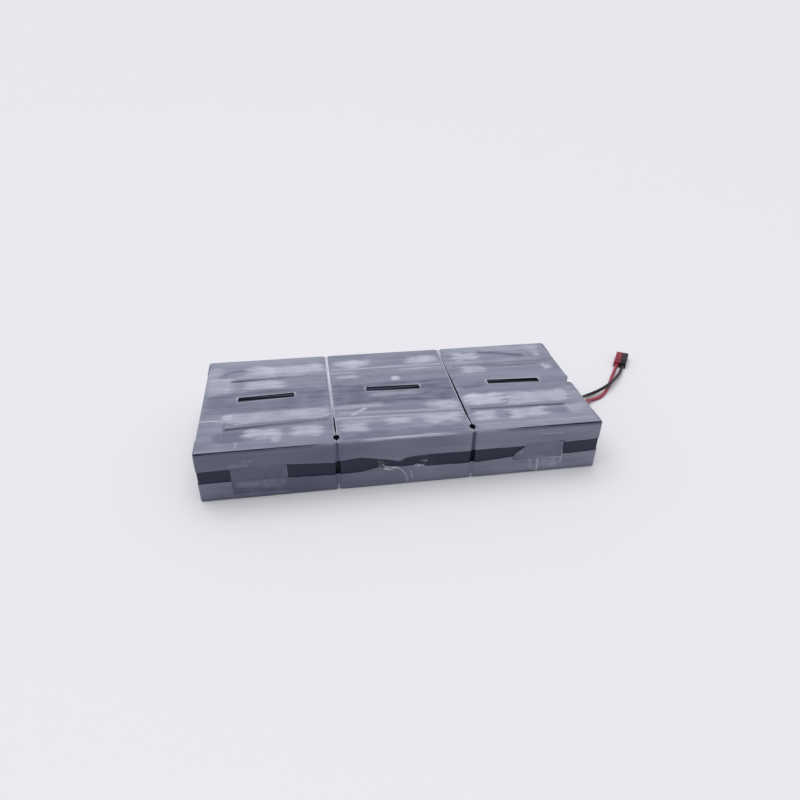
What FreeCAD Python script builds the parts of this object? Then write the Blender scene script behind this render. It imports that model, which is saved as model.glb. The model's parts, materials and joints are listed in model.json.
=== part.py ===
import FreeCAD, Part
import math
import os
import re

import Sketcher
from FreeCAD import Placement, Rotation, Vector

# Pack of six sealed lead-acid blocks, three columns of two.
# The blocks lie on a large side with their lids facing each other across a terminal channel.
# Frame: X along the pack, Y from the front row to the back row, Z up, origin on the floor under the middle.

doc = FreeCAD.newDocument("battery_pack")
sheet = doc.addObject("Spreadsheet::Sheet", "Sizes")

# Driving dimensions in millimetres
driving = [
    ("block_length", 151), ("block_thick", 65), ("block_height", 94), ("jar_height", 76),
    ("column_gap", 4.5), ("channel", 14),
    ("wall", 2.5), ("partition", 1.5), ("side_round", 3), ("base_round", 2),
    ("lid_step", 0.4), ("lid_hollow", 6),
    ("cover_length", 104), ("cover_width", 44), ("cover_thick", 4), ("cover_roof", 1.5), ("ledge", 3.3),
    ("cover_play", 0.2), ("vent_depth", 8), ("chimney_x", 40), ("chimney_y", 12), ("chimney_radius", 3.9),
    ("chimney_bore", 2.5), ("cap_radius", 5.5), ("cap_wall", 1.4), ("cap_roof", 1.2), ("cap_lift", 0.2),
    ("terminal_x", 64), ("terminal_y", 16), ("well_length", 18), ("well_width", 17), ("well_depth", 4),
    ("foot_length", 9), ("foot_width", 10), ("foot_thick", 1.2), ("tab_width", 6.35), ("tab_thick", 0.8),
    ("tab_rise", 4.5), ("post_radius", 2.9), ("post_play", 0.1),
    ("stack_play", 0.8), ("stack_lift", 3), ("stack_height", 65), ("strap_offset", 14),
    ("strap_length", 10), ("strap_width", 24), ("strap_height", 5),
    ("film", 0.3), ("tape", 0.2), ("film_margin", 3), ("wrap_return", 28),
    ("band_low", 23.2), ("band_high", 40.4), ("wrap_high", 63), ("wrap_low", 2),
    ("slit_length", 67), ("slit_width", 10), ("slit_shift", 2),
    ("joint_width", 2.5), ("front_joint", 57), ("back_joint", 48), ("joint_reach", 200), ("joint_stop", 2),
    ("tape_left", 205), ("tape_right", 212),
    ("front_tape_near", 81), ("front_tape_far", 28), ("back_tape_near", 24), ("back_tape_far", 78),
    ("patch_width", 61), ("patch_high", 43.5), ("patch_shift", 9.5), ("patch_drop", 2),
    ("notch_depth", 6), ("notch_near", 13.5), ("notch_tip", 10.5), ("notch_far", 5),
    ("link_lap", 6), ("clip_depth", 6.5), ("clip_wall", 0.9), ("barrel_radius", 2.7),
    ("barrel_length", 7.5), ("barrel_off", 4.1), ("lead_radius", 2.3), ("arc_share", 0.45),
    ("lead_tail", 20),
    ("pad_length", 75), ("pad_height", 40), ("pad_lift", 5), ("pad_shift", 57.5), ("pad_play", 0.1),
    ("spacer_length", 84), ("spacer_height", 54), ("spacer_lift", 8),
    ("housing_side", 9), ("housing_length", 37), ("mouth_width", 6.4), ("mouth_height", 3.4),
    ("mouth_depth", 13), ("contact_radius", 2.1), ("contact_play", 0.1), ("tongue_width", 5),
    ("tongue_thick", 1.2), ("tongue_length", 10), ("housing_round", 0.6),
    ("plug_x", 375), ("plug_y", 126.5), ("plug_heading", 57.2),
]
for row, (alias, number) in enumerate(driving, start=1):
    sheet.set(f"A{row}", alias)
    sheet.set(f"B{row}", str(number))
    sheet.setAlias(f"B{row}", alias)
doc.recompute()

# Sizes worked out from the driving dimensions, written in their aliases
pitch = "(block_length + column_gap)"
half_pack = "(1.5 * block_length + column_gap)"
row_face = "(channel / 2 + block_height)"
row_base = "film"
row_top = "(film + block_thick)"
lead_height = "(film + block_thick / 2 - terminal_y)"
cell_length = "((block_length - 2 * wall - 2 * partition) / 3)"
cell_width = "((block_thick - 2 * wall - partition) / 2)"
cell_step_x = f"({cell_length} + partition)"
cell_step_y = f"(({cell_width} + partition) / 2)"
tab_foot = "(block_height - well_depth)"
tab_tip = "(block_height + tab_rise)"

columns = {"left": -1, "middle": 0, "right": 1}
rows = {"front": 0, "back": 180}
subparts = []


def cells(text):
    return re.sub(r"[a-z]\w+", r"Sizes.\g<0>", text)


def amount(text):
    return float(sheet.evalExpression(cells(text)))


def bind(thing, prop, text):
    thing.setExpression(prop, cells(text))


def named(thing, label):
    thing.Label = label
    subparts.append(thing)
    return thing


# Places: a block's own frame has X along it, Y through it and Z from its base to its lid
def place_in_block(thing, column, row):
    flip = rows[row]
    side = 1 if flip else -1
    turn = Rotation(Vector(0, 0, 1), flip) * Rotation(Vector(1, 0, 0), -90)
    thing.Placement = Placement(Vector(), turn)
    bind(thing, "Placement.Base.x", f"{columns[column]} * {pitch}")
    bind(thing, "Placement.Base.y", f"{side} * {row_face}")
    bind(thing, "Placement.Base.z", f"{row_base} + block_thick / 2")


# Sketches: every dimension is pinned from the sketch's origin and bound to the sheet
def plane_of(body, role):
    return next(item for item in body.Origin.OriginFeatures if item.Role == role)


def sketch_on(body, name, height="0", role="XY_Plane"):
    sketch = body.newObject("Sketcher::SketchObject", name)
    sketch.AttachmentSupport = [(plane_of(body, role), "")]
    sketch.MapMode = "FlatFace"
    if height != "0":
        bind(sketch, "AttachmentOffset.Base.z", height)
    return sketch


def pin(sketch, kind, item, end, text):
    distance = amount(text)
    if abs(distance) < 1e-9:
        axis = -2 if kind == "DistanceX" else -1
        sketch.addConstraint(Sketcher.Constraint("PointOnObject", item, end, axis))
        return
    if distance > 0:
        limit = Sketcher.Constraint(kind, -1, 1, item, end, distance)
    else:
        limit = Sketcher.Constraint(kind, item, end, -1, 1, -distance)
    index = sketch.addConstraint(limit)
    bind(sketch, f"Constraints[{index}]", text if distance > 0 else f"-({text})")


def outline(sketch, corners):
    spots = [Vector(amount(x), amount(y), 0) for x, y in corners]
    count = len(spots)
    lines = [Part.LineSegment(spots[i], spots[(i + 1) % count]) for i in range(count)]
    items = sketch.addGeometry(lines)
    for i, item in enumerate(items):
        sketch.addConstraint(Sketcher.Constraint("Coincident", item, 2, items[(i + 1) % count], 1))
        pin(sketch, "DistanceX", item, 1, corners[i][0])
        pin(sketch, "DistanceY", item, 1, corners[i][1])


def rectangle(sketch, left, right, low, high):
    outline(sketch, [(left, low), (right, low), (right, high), (left, high)])


def circle(sketch, across, along, radius):
    centre = Vector(amount(across), amount(along), 0)
    item = sketch.addGeometry(Part.Circle(centre, Vector(0, 0, 1), amount(radius)))
    pin(sketch, "DistanceX", item, 3, across)
    pin(sketch, "DistanceY", item, 3, along)
    index = sketch.addConstraint(Sketcher.Constraint("Radius", item, amount(radius)))
    bind(sketch, f"Constraints[{index}]", radius)


# Features of a body, each checked by what it does to the volume
def pad(body, sketch, length):
    feature = body.newObject("PartDesign::Pad", "Pad")
    feature.Profile = sketch
    bind(feature, "Length", length)
    doc.recompute()
    return feature


def pocket(body, sketch, depth, upward=False):
    before = body.Shape.Volume
    feature = body.newObject("PartDesign::Pocket", "Pocket")
    feature.Profile = sketch
    feature.Reversed = upward
    bind(feature, "Length", depth)
    doc.recompute()
    if body.Shape.Volume > before - 1e-3:
        raise RuntimeError(f"{body.Label}: a pocket cut nothing")
    return feature


def round_edges(body, base, chosen, radius):
    names = [f"Edge{i}" for i, edge in enumerate(base.Shape.Edges, start=1) if chosen(edge)]
    feature = body.newObject("PartDesign::Fillet", "Fillet")
    feature.Base = (base, names)
    bind(feature, "Radius", radius)
    doc.recompute()
    return feature


def upright(edge):
    start, end = edge.Vertexes[0].Point, edge.Vertexes[-1].Point
    return abs(start.z - end.z) > 1 and abs(start.x - end.x) + abs(start.y - end.y) < 1e-6


def level(height):
    return lambda edge: all(abs(vertex.Z - height) < 1e-6 for vertex in edge.Vertexes)


def body_for(label):
    return named(doc.addObject("PartDesign::Body", label), label)


def box(name, length, width, height, x, y, z):
    solid = doc.addObject("Part::Box", name)
    bind(solid, "Length", length)
    bind(solid, "Width", width)
    bind(solid, "Height", height)
    bind(solid, "Placement.Base.x", x)
    bind(solid, "Placement.Base.y", y)
    bind(solid, "Placement.Base.z", z)
    return solid


def cylinder(name, radius, height, x, y, z):
    solid = doc.addObject("Part::Cylinder", name)
    bind(solid, "Radius", radius)
    bind(solid, "Height", height)
    bind(solid, "Placement.Base.x", x)
    bind(solid, "Placement.Base.y", y)
    bind(solid, "Placement.Base.z", z)
    return solid


def fused(name, solids):
    join = doc.addObject("Part::MultiFuse", name)
    join.Shapes = solids
    return join


def cut(name, base, tool):
    difference = doc.addObject("Part::Cut", name)
    difference.Base = base
    difference.Tool = tool
    return difference


def group(label, solids):
    bundle = doc.addObject("Part::Compound", label)
    bundle.Links = solids
    return named(bundle, label)


def cell_spots():
    return [(f"{i} * {cell_step_x}", f"{j} * {cell_step_y}") for i in (-1, 0, 1) for j in (-1, 1)]


def chimney_spots():
    return [(f"{i} * chimney_x", f"{j} * chimney_y") for i in (-1, 0, 1) for j in (-1, 1)]


def cell_windows(sketch):
    for x, y in cell_spots():
        rectangle(sketch, f"{x} - {cell_length} / 2", f"{x} + {cell_length} / 2",
                  f"{y} - {cell_width} / 2", f"{y} + {cell_width} / 2")


def rounded_slab(body, inset, low, tall, flat_end, flat_round):
    base = sketch_on(body, "Outline", low)
    across, through = f"(block_length / 2 - {inset})", f"(block_thick / 2 - {inset})"
    rectangle(base, f"-{across}", across, f"-{through}", through)
    slab = pad(body, base, tall)
    sides = round_edges(body, slab, upright, "side_round")
    return round_edges(body, sides, level(amount(flat_end)), flat_round)


# Jar: one moulded box with six cell rooms, open at the lid end
def make_jar(column, row):
    body = body_for(f"{row}_{column}_jar")
    rounded_slab(body, "0", "0", "jar_height", "0", "base_round")
    rooms = sketch_on(body, "Rooms", "jar_height")
    cell_windows(rooms)
    pocket(body, rooms, "jar_height - wall")
    place_in_block(body, column, row)


# Lid: closes the cells, carries the vent chimneys in a tray and two terminal wells
def make_lid(column, row):
    body = body_for(f"{row}_{column}_lid")
    rounded_slab(body, "lid_step", "jar_height", "block_height - jar_height", "block_height", "base_round")
    rooms = sketch_on(body, "Rooms", "jar_height")
    cell_windows(rooms)
    pocket(body, rooms, "lid_hollow", upward=True)
    seat = sketch_on(body, "CoverSeat", "block_height")
    rectangle(seat, "-cover_length / 2", "cover_length / 2", "-cover_width / 2", "cover_width / 2")
    pocket(body, seat, "cover_thick")
    tray = sketch_on(body, "VentTray", "block_height - cover_thick")
    long_side, short_side = "(cover_length / 2 - ledge)", "(cover_width / 2 - ledge)"
    rectangle(tray, f"-{long_side}", long_side, f"-{short_side}", short_side)
    for x, y in chimney_spots():
        circle(tray, x, y, "chimney_radius")
    pocket(body, tray, "vent_depth - cover_thick")
    bores = sketch_on(body, "ChimneyBores", "block_height - cover_thick")
    for x, y in chimney_spots():
        circle(bores, x, y, "chimney_bore")
    pocket(body, bores, "block_height - cover_thick - jar_height")
    wells = sketch_on(body, "TerminalWells", "block_height")
    posts = sketch_on(body, "PostHoles", tab_foot)
    for side in (-1, 1):
        rectangle(wells, f"{side} * terminal_x - well_length / 2", f"{side} * terminal_x + well_length / 2",
                  "terminal_y - well_width / 2", "terminal_y + well_width / 2")
        circle(posts, f"{side} * terminal_x", "terminal_y", "post_radius + post_play")
    pocket(body, wells, "well_depth")
    pocket(body, posts, "block_height - well_depth - jar_height")
    place_in_block(body, column, row)


# Vent cover: a shallow tray set flush in the lid over the valve caps
def make_vent_cover(column, row):
    body = body_for(f"{row}_{column}_vent_cover")
    face = sketch_on(body, "Face", "block_height - cover_thick")
    half_long, half_wide = "(cover_length / 2 - cover_play)", "(cover_width / 2 - cover_play)"
    rectangle(face, f"-{half_long}", half_long, f"-{half_wide}", half_wide)
    pad(body, face, "cover_thick")
    under = sketch_on(body, "Underside", "block_height - cover_thick")
    long_side, short_side = "(cover_length / 2 - ledge)", "(cover_width / 2 - ledge)"
    rectangle(under, f"-{long_side}", long_side, f"-{short_side}", short_side)
    pocket(body, under, "cover_thick - cover_roof", upward=True)
    place_in_block(body, column, row)


# Terminals: a foot in the well, a tab for the link and a post down to the plates
def make_terminals(column, row):
    pair = []
    for side in (-1, 1):
        x = f"{side} * terminal_x"
        foot = box("Foot", "foot_length", "foot_width", "foot_thick", f"{x} - foot_length / 2",
                   "terminal_y - foot_width / 2", tab_foot)
        tab = box("Tab", "tab_thick", "tab_width", f"{tab_tip} - {tab_foot}", f"{x} - tab_thick / 2",
                  "terminal_y - tab_width / 2", tab_foot)
        low = "(stack_lift + stack_height + strap_height)"
        post = cylinder("Post", "post_radius", f"{tab_foot} - {low}", x, "terminal_y", low)
        pair.append(fused("Terminal", [foot, tab, post]))
    place_in_block(group(f"{row}_{column}_terminals", pair), column, row)


# Plate groups: six packs of plates and separators with their two cast straps
def make_plate_groups(column, row):
    packs = []
    for x, y in cell_spots():
        long_side, short_side = f"({cell_length} - 2 * stack_play)", f"({cell_width} - 2 * stack_play)"
        stack = box("Stack", long_side, short_side, "stack_height", f"{x} - {long_side} / 2",
                    f"{y} - {short_side} / 2", "stack_lift")
        straps = [box("Strap", "strap_length", "strap_width", "strap_height",
                      f"{x} + {side} * strap_offset - strap_length / 2", f"{y} - strap_width / 2",
                      "stack_lift + stack_height") for side in (-1, 1)]
        packs.append(fused("PlatePack", [stack] + straps))
    place_in_block(group(f"{row}_{column}_plate_groups", packs), column, row)


# Valve caps: a rubber cup over each chimney, all in one group
def make_valve_caps():
    caps = []
    for row in rows:
        for column in columns:
            side = 1 if rows[row] else -1
            for x, z in chimney_spots():
                mouth = "(block_height - vent_depth + cap_lift)"
                bore = "(vent_depth - cover_thick - cap_lift / 2)"
                outer = doc.addObject("Part::Cylinder", "CapOutside")
                inner = doc.addObject("Part::Cylinder", "CapInside")
                bind(outer, "Radius", "cap_radius")
                bind(outer, "Height", f"{bore} + cap_roof")
                bind(inner, "Radius", "cap_radius - cap_wall")
                bind(inner, "Height", bore)
                for solid in (outer, inner):
                    solid.Placement = Placement(Vector(), Rotation(Vector(1, 0, 0), 90 * side))
                    bind(solid, "Placement.Base.x", f"{columns[column]} * {pitch} + {x}")
                    bind(solid, "Placement.Base.y", f"{side} * ({row_face} - {mouth})")
                    bind(solid, "Placement.Base.z", f"{row_base} + block_thick / 2 + {z}")
                caps.append(cut("ValveCap", outer, inner))
    group("valve_caps", caps)


# Films and tapes: thin sheets pressed on the blocks
def sheet_body(label, low):
    body = body_for(label)
    return body, sketch_on(body, "Outline", low)


def make_top_film(column):
    body, face = sheet_body(f"{column}_top_film", row_top)
    centre = f"{columns[column]} * {pitch}"
    half_long, half_wide = "(block_length / 2 - film_margin)", f"({row_face} - film_margin)"
    left_end, right_end = f"{centre} - {half_long}", f"{centre} + {half_long}"
    notch = []
    if column == "right":
        tip = f"{right_end} - notch_depth"
        notch = [(right_end, "-notch_near"), (tip, "-notch_tip"), (right_end, "notch_far")]
    outline(face, [(left_end, f"-{half_wide}"), (right_end, f"-{half_wide}"), *notch,
                   (right_end, half_wide), (left_end, half_wide)])
    rectangle(face, f"{centre} - slit_length / 2", f"{centre} + slit_length / 2",
              "slit_shift - slit_width / 2", "slit_shift + slit_width / 2")
    left = "-joint_reach" if column == "left" else f"{left_end} + joint_stop"
    right = "joint_reach" if column == "right" else f"{right_end} - joint_stop"
    for place in ("-front_joint", "back_joint"):
        rectangle(face, left, right, f"{place} - joint_width / 2", f"{place} + joint_width / 2")
    pad(body, face, "film")


def make_bottom_film(column):
    body, face = sheet_body(f"{column}_bottom_film", "0")
    centre = f"{columns[column]} * {pitch}"
    half_long, half_wide = "(block_length / 2 - film_margin)", f"({row_face} - film_margin)"
    rectangle(face, f"{centre} - {half_long}", f"{centre} + {half_long}", f"-{half_wide}", half_wide)
    pad(body, face, "film")


# Row films: a strip on each column's outer face, turned round the corner at the pack's two ends
def make_row_film(row, name, low, high):
    side = 1 if rows[row] else -1
    base, tall = f"film + {low}", f"{high} - {low}"
    flat = "(block_length / 2 - base_round)"
    face_y = row_face if side > 0 else f"-({row_face} + film)"
    turn_y = f"({row_face} - wrap_return)" if side > 0 else f"-({row_face} + film)"
    strips = []
    for place in columns.values():
        left = f"(-{half_pack} - film)" if place < 0 else f"({place} * {pitch} - {flat})"
        right = f"({half_pack} + film)" if place > 0 else f"({place} * {pitch} + {flat})"
        strip = box("Strip", f"{right} - {left}", "film", tall, left, face_y, base)
        if place:
            end = left if place < 0 else half_pack
            turned = box("TurnedEnd", "film", "wrap_return + film", tall, end, turn_y, base)
            strip = fused("CornerStrip", [strip, turned])
        strips.append(strip)
    group(f"{row}_{name}_film", strips)


def make_top_tape(row, near, far):
    body, face = sheet_body(f"{row}_top_tape", f"{row_top} + film")
    rectangle(face, "-tape_left", "tape_right", near, far)
    pad(body, face, "tape")


def make_front_tape(column):
    body = body_for(f"{column}_front_tape")
    face = sketch_on(body, "Outline", f"{row_face} + film", "XZ_Plane")
    centre = f"({columns[column]} * ({pitch} + patch_shift))"
    rectangle(face, f"{centre} - patch_width / 2", f"{centre} + patch_width / 2",
              "film + patch_drop", "film + patch_high")
    pad(body, face, "tape")


# Links: folded strips that join the blocks in series
def make_series_links():
    strips = []
    for row in rows:
        side = 1 if rows[row] else -1
        for seam in (-1, 1):
            inner = f"({seam} * {pitch} / 2 - ({pitch} / 2 - terminal_x) + tab_thick / 2)"
            outer = f"({seam} * {pitch} / 2 + ({pitch} / 2 - terminal_x) - tab_thick / 2)"
            tip = f"({row_face} - {tab_tip})"
            reach = f"({tip} + link_lap)"
            first, last = ((tip, f"{tip} + tab_thick") if side > 0 else (f"-{tip} - tab_thick", f"-{tip}"))
            low = tip if side > 0 else f"-{reach}"
            height = f"{lead_height} - tab_width / 2"
            web = box("LinkWeb", f"{outer} - {inner}", f"({last}) - ({first})", "tab_width",
                      inner, first, height)
            legs = [box("LinkLeg", "tab_thick", "link_lap", "tab_width", x, low, height)
                    for x in (inner, f"{outer} - tab_thick")]
            strips.append(fused("SeriesLink", [web] + legs))
    group("series_links", strips)


def make_end_link():
    reach = f"({row_face} - {tab_tip} + link_lap)"
    plate = box("end_link", "tab_thick", f"2 * {reach}", "tab_width",
                f"-({pitch} + terminal_x) + tab_thick / 2", f"-{reach}", f"{lead_height} - tab_width / 2")
    named(plate, "end_link")


# Receptacles: a clip on each end tab with the crimped barrel of its lead
def make_receptacles():
    pair = []
    for side in (-1, 1):
        tab_x = f"({pitch} + terminal_x)"
        wide = "(tab_thick + 2 * clip_wall)"
        near = f"({row_face} - {tab_tip})"
        low_y = near if side > 0 else f"-({near} + clip_depth)"
        height = "(tab_width + 2 * clip_wall)"
        shell = box("Clip", wide, "clip_depth", height, f"{tab_x} - {wide} / 2", low_y,
                    f"{lead_height} - {height} / 2")
        slot = box("ClipSlot", "tab_thick", "clip_depth", "tab_width", f"{tab_x} - tab_thick / 2", low_y,
                   f"{lead_height} - tab_width / 2")
        barrel = doc.addObject("Part::Cylinder", "Barrel")
        barrel.Placement = Placement(Vector(), Rotation(Vector(0, 1, 0), 90))
        bind(barrel, "Radius", "barrel_radius")
        bind(barrel, "Height", "barrel_length")
        bind(barrel, "Placement.Base.x", f"{tab_x} + {wide} / 2")
        bind(barrel, "Placement.Base.y", f"{side} * barrel_off")
        bind(barrel, "Placement.Base.z", lead_height)
        pair.append(fused("Receptacle", [cut("OpenClip", shell, slot), barrel]))
    group("lead_receptacles", pair)


# Foam: a pad near the front of each gap between the columns, and spacers between the two rows of lids
def make_foam():
    pads = []
    wide = "(column_gap - 2 * pad_play)"
    for seam in (-0.5, 0.5):
        pads.append(box("Pad", wide, "pad_length", "pad_height", f"{seam} * {pitch} - {wide} / 2",
                        "-pad_shift - pad_length / 2", f"{row_base} + pad_lift"))
    group("column_pads", pads)
    spacers = []
    for column in columns:
        thick = "(channel - 2 * pad_play)"
        spacers.append(box("Spacer", "spacer_length", thick, "spacer_height",
                           f"{columns[column]} * {pitch} - spacer_length / 2", f"-{thick} / 2",
                           f"{row_base} + spacer_lift"))
    group("channel_spacers", spacers)


# Connector: two housings side by side on the floor, each with a contact, at the end of the leads
def place_on_plug(thing, side):
    turn = Rotation(Vector(0, 0, 1), amount("plug_heading")) * Rotation(Vector(0, 1, 0), 90)
    thing.Placement = Placement(Vector(), turn)
    heading = math.radians(amount("plug_heading"))
    bind(thing, "Placement.Base.x", f"plug_x + {side * math.sin(heading):.6f} * housing_side / 2")
    bind(thing, "Placement.Base.y", f"plug_y - {side * math.cos(heading):.6f} * housing_side / 2")
    bind(thing, "Placement.Base.z", "housing_side / 2")


def make_housing(label, side):
    body = body_for(label)
    face = sketch_on(body, "Outline")
    half = "(housing_side / 2)"
    rectangle(face, f"-{half}", half, f"-{half}", half)
    block = pad(body, face, "housing_length")
    bars = round_edges(body, block, upright, "housing_round")
    round_edges(body, bars, level(amount("housing_length")), "housing_round")
    mouth = sketch_on(body, "Mouth", "housing_length")
    rectangle(mouth, "-mouth_height / 2", "mouth_height / 2", "-mouth_width / 2", "mouth_width / 2")
    pocket(body, mouth, "mouth_depth")
    bore = sketch_on(body, "Bore", "0")
    circle(bore, "0", "0", "contact_radius + contact_play")
    pocket(body, bore, "housing_length - mouth_depth", upward=True)
    place_on_plug(body, side)


def make_contacts():
    pair = []
    for side in (-1, 1):
        barrel = cylinder("ContactBarrel", "contact_radius", "housing_length - mouth_depth", "0", "0", "0")
        tongue = box("ContactTongue", "tongue_thick", "tongue_width", "tongue_length", "-tongue_thick / 2",
                     "-tongue_width / 2", "housing_length - mouth_depth")
        contact = fused("Contact", [barrel, tongue])
        place_on_plug(contact, side)
        pair.append(contact)
    group("connector_contacts", pair)


# Leads: straight runs joined by arcs as large as the runs allow
def rounded_path(points):
    edges = []
    radii = []
    start = points[0]
    for before, corner, after in zip(points, points[1:], points[2:]):
        arriving, leaving = (corner - before), (after - corner)
        turn = arriving.getAngle(leaving)
        setback = amount("arc_share") * min(arriving.Length, leaving.Length)
        radii.append(setback / math.tan(turn / 2))
        arriving.normalize()
        leaving.normalize()
        first, last = corner - arriving * setback, corner + leaving * setback
        bow = leaving - arriving
        bow.normalize()
        middle = corner + bow * (radii[-1] / math.cos(turn / 2) - radii[-1])
        edges.append(Part.LineSegment(start, first).toShape())
        edges.append(Part.Arc(first, middle, last).toShape())
        start = last
    edges.append(Part.LineSegment(start, points[-1]).toShape())
    return Part.Wire(edges), radii


def make_lead(label, points):
    path, radii = rounded_path(points)
    radius = amount("lead_radius")
    section = Part.Wire([Part.Circle(points[0], points[1] - points[0], radius).toShape()])
    lead = doc.addObject("Part::Feature", label)
    lead.Shape = path.makePipeShell([section], True, False)
    lead.Placement = Placement()
    share = lead.Shape.Volume / (math.pi * radius ** 2 * path.Length)
    print(f"{label}: length {path.Length:.1f}, tightest radius {min(radii):.1f}, volume share {share:.4f}")
    named(lead, label)


def lead_routes():
    exit_x = amount(f"{pitch} + terminal_x + tab_thick / 2 + clip_wall + barrel_length")
    exit_z = amount(lead_height)
    off = amount("barrel_off")
    heading = math.radians(amount("plug_heading"))
    ahead = Vector(math.cos(heading), math.sin(heading), 0)
    aside = Vector(math.sin(heading), -math.cos(heading), 0) * amount("housing_side / 2")
    plug = Vector(amount("plug_x"), amount("plug_y"), amount("housing_side / 2"))
    red = [Vector(exit_x, -off, exit_z), Vector(242.5, -off, exit_z), Vector(257, 4.6, 19),
           Vector(269.5, 19, 13.6), Vector(280, 31.6, 6.6), Vector(291, 38.8, 2.9),
           Vector(304, 43.2, 2.4), Vector(316, 52.2, 2.4), Vector(326.6, 64.6, 2.4),
           Vector(336.8, 79.2, 2.5), Vector(348, 95.5, 2.8),
           plug - aside - ahead * amount("lead_tail"), plug - aside]
    black = [Vector(exit_x, off, exit_z), Vector(243, off, exit_z), Vector(257.5, 14, 19.8),
             Vector(268.5, 28.6, 14.8), Vector(279, 41, 7.8), Vector(290.8, 49.9, 4.2),
             Vector(304, 54.6, 5), Vector(316, 58.4, 8), Vector(327.5, 65.4, 8.8),
             Vector(338.5, 75, 8.2), Vector(350.5, 87.6, 6.2),
             plug + aside - ahead * amount("lead_tail"), plug + aside]
    return {"red_lead": red, "black_lead": black}


for row in rows:
    for column in columns:
        make_jar(column, row)
        make_lid(column, row)
        make_vent_cover(column, row)
        make_terminals(column, row)
        make_plate_groups(column, row)
make_valve_caps()
for column in columns:
    make_top_film(column)
    make_bottom_film(column)
    make_front_tape(column)
for row in rows:
    make_row_film(row, "upper", "band_high", "wrap_high")
    make_row_film(row, "lower", "wrap_low", "band_low")
make_top_tape("front", "-front_tape_near", "-front_tape_far")
make_top_tape("back", "back_tape_near", "back_tape_far")
make_series_links()
make_end_link()
make_receptacles()
make_foam()
make_housing("red_connector_housing", -1)
make_housing("black_connector_housing", 1)
make_contacts()
doc.recompute()
for label, points in lead_routes().items():
    make_lead(label, points)
doc.recompute()

# Every object has to be sound before anything is written
for thing in doc.Objects:
    if {"Invalid", "Error"} & set(thing.State):
        raise RuntimeError(f"{thing.Label} failed: {thing.State}")
for thing in subparts:
    if thing.Shape.isNull() or not thing.Shape.isValid():
        raise RuntimeError(f"{thing.Label} has no sound shape")

os.makedirs("parts", exist_ok=True)
for thing in subparts:
    thing.Shape.exportStep(f"parts/{thing.Label}.step")
print(f"{len(subparts)} sub-parts written")
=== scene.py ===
import json
import math

import bpy
import bmesh
import numpy as np
from mathutils import Matrix, Vector, noise


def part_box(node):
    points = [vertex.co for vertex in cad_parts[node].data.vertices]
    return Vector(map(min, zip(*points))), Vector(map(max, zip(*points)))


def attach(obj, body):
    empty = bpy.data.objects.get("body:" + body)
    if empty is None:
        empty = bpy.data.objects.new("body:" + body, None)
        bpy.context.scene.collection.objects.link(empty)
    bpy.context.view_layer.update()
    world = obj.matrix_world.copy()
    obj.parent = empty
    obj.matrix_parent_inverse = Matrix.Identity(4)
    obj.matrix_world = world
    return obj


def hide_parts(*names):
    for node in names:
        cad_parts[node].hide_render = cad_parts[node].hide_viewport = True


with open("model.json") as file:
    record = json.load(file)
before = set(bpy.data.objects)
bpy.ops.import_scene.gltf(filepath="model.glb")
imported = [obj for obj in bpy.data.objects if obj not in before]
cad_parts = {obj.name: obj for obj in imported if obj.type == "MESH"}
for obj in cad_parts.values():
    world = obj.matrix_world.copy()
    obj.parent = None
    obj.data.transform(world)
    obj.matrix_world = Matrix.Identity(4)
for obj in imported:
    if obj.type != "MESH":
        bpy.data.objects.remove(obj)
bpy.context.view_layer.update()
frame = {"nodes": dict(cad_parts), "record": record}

mm = 0.001  # sizes below are in millimetres, Blender works in metres


def cornersOf(node):
    low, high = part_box(node)
    return [value / mm for value in low], [value / mm for value in high]


def addObject(name, data):
    piece = bpy.data.objects.new(name, data)
    bpy.context.scene.collection.objects.link(piece)
    return piece


jarLow, jarHigh = cornersOf("front_left_jar")
pack = {
    "top": jarHigh[2],
    "base": jarLow[2],
    "face": -jarLow[1],  # distance from the middle to the front and back faces
    "block": jarHigh[0] - jarLow[0],
    "pitch": cornersOf("front_middle_jar")[0][0] - jarLow[0],
    "sideRound": 3.0,  # rounded edge along a block
    "faceRound": 2.0,  # rounded edge round a block's outer face
    "film": 0.3,
}
columnPlace = {"left": -pack["pitch"], "middle": 0.0, "right": pack["pitch"]}
seamPlace = (-pack["pitch"] / 2, pack["pitch"] / 2)


# Camera, fitted to the edges and seams of the pack
viewpoint = {
    "place": (-103.65, -653.85, 468.87),
    "down": 32.232,
    "right": 9.733,
    "roll": 1.056,
    "focal": 622.02,  # in pixels of an image 800 wide
    "image": 800,
    "sensor": 36.0,
}


def makeCamera():
    down, right, roll = (math.radians(viewpoint[key]) for key in ("down", "right", "roll"))
    ahead = Vector((math.sin(right) * math.cos(down), math.cos(right) * math.cos(down), -math.sin(down)))
    level = Vector((math.cos(right), -math.sin(right), 0))
    upward = level.cross(ahead)
    across = level * math.cos(roll) + upward * math.sin(roll)
    tall = upward * math.cos(roll) - level * math.sin(roll)
    data = bpy.data.cameras.new("photoCamera")
    data.sensor_width = viewpoint["sensor"]
    data.lens = viewpoint["focal"] / viewpoint["image"] * viewpoint["sensor"]
    camera = addObject("photoCamera", data)
    turn = Matrix((across, tall, -ahead)).transposed().to_quaternion()
    camera.matrix_world = Matrix.LocRotScale(Vector(viewpoint["place"]) * mm, turn, None)
    bpy.context.scene.camera = camera


makeCamera()
print("camera placed")


# Materials
def hexColour(code):
    shares = [int(code[i:i + 2], 16) / 255 for i in (0, 2, 4)]
    return (*[s / 12.92 if s <= 0.04045 else ((s + 0.055) / 1.055) ** 2.4 for s in shares], 1.0)


def linkAll(tree, node, sources):
    # a node as a source stands for its first output
    for key, source in sources.items():
        tree.links.new(getattr(source, "outputs", [source])[0], node.inputs[key])


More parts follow.
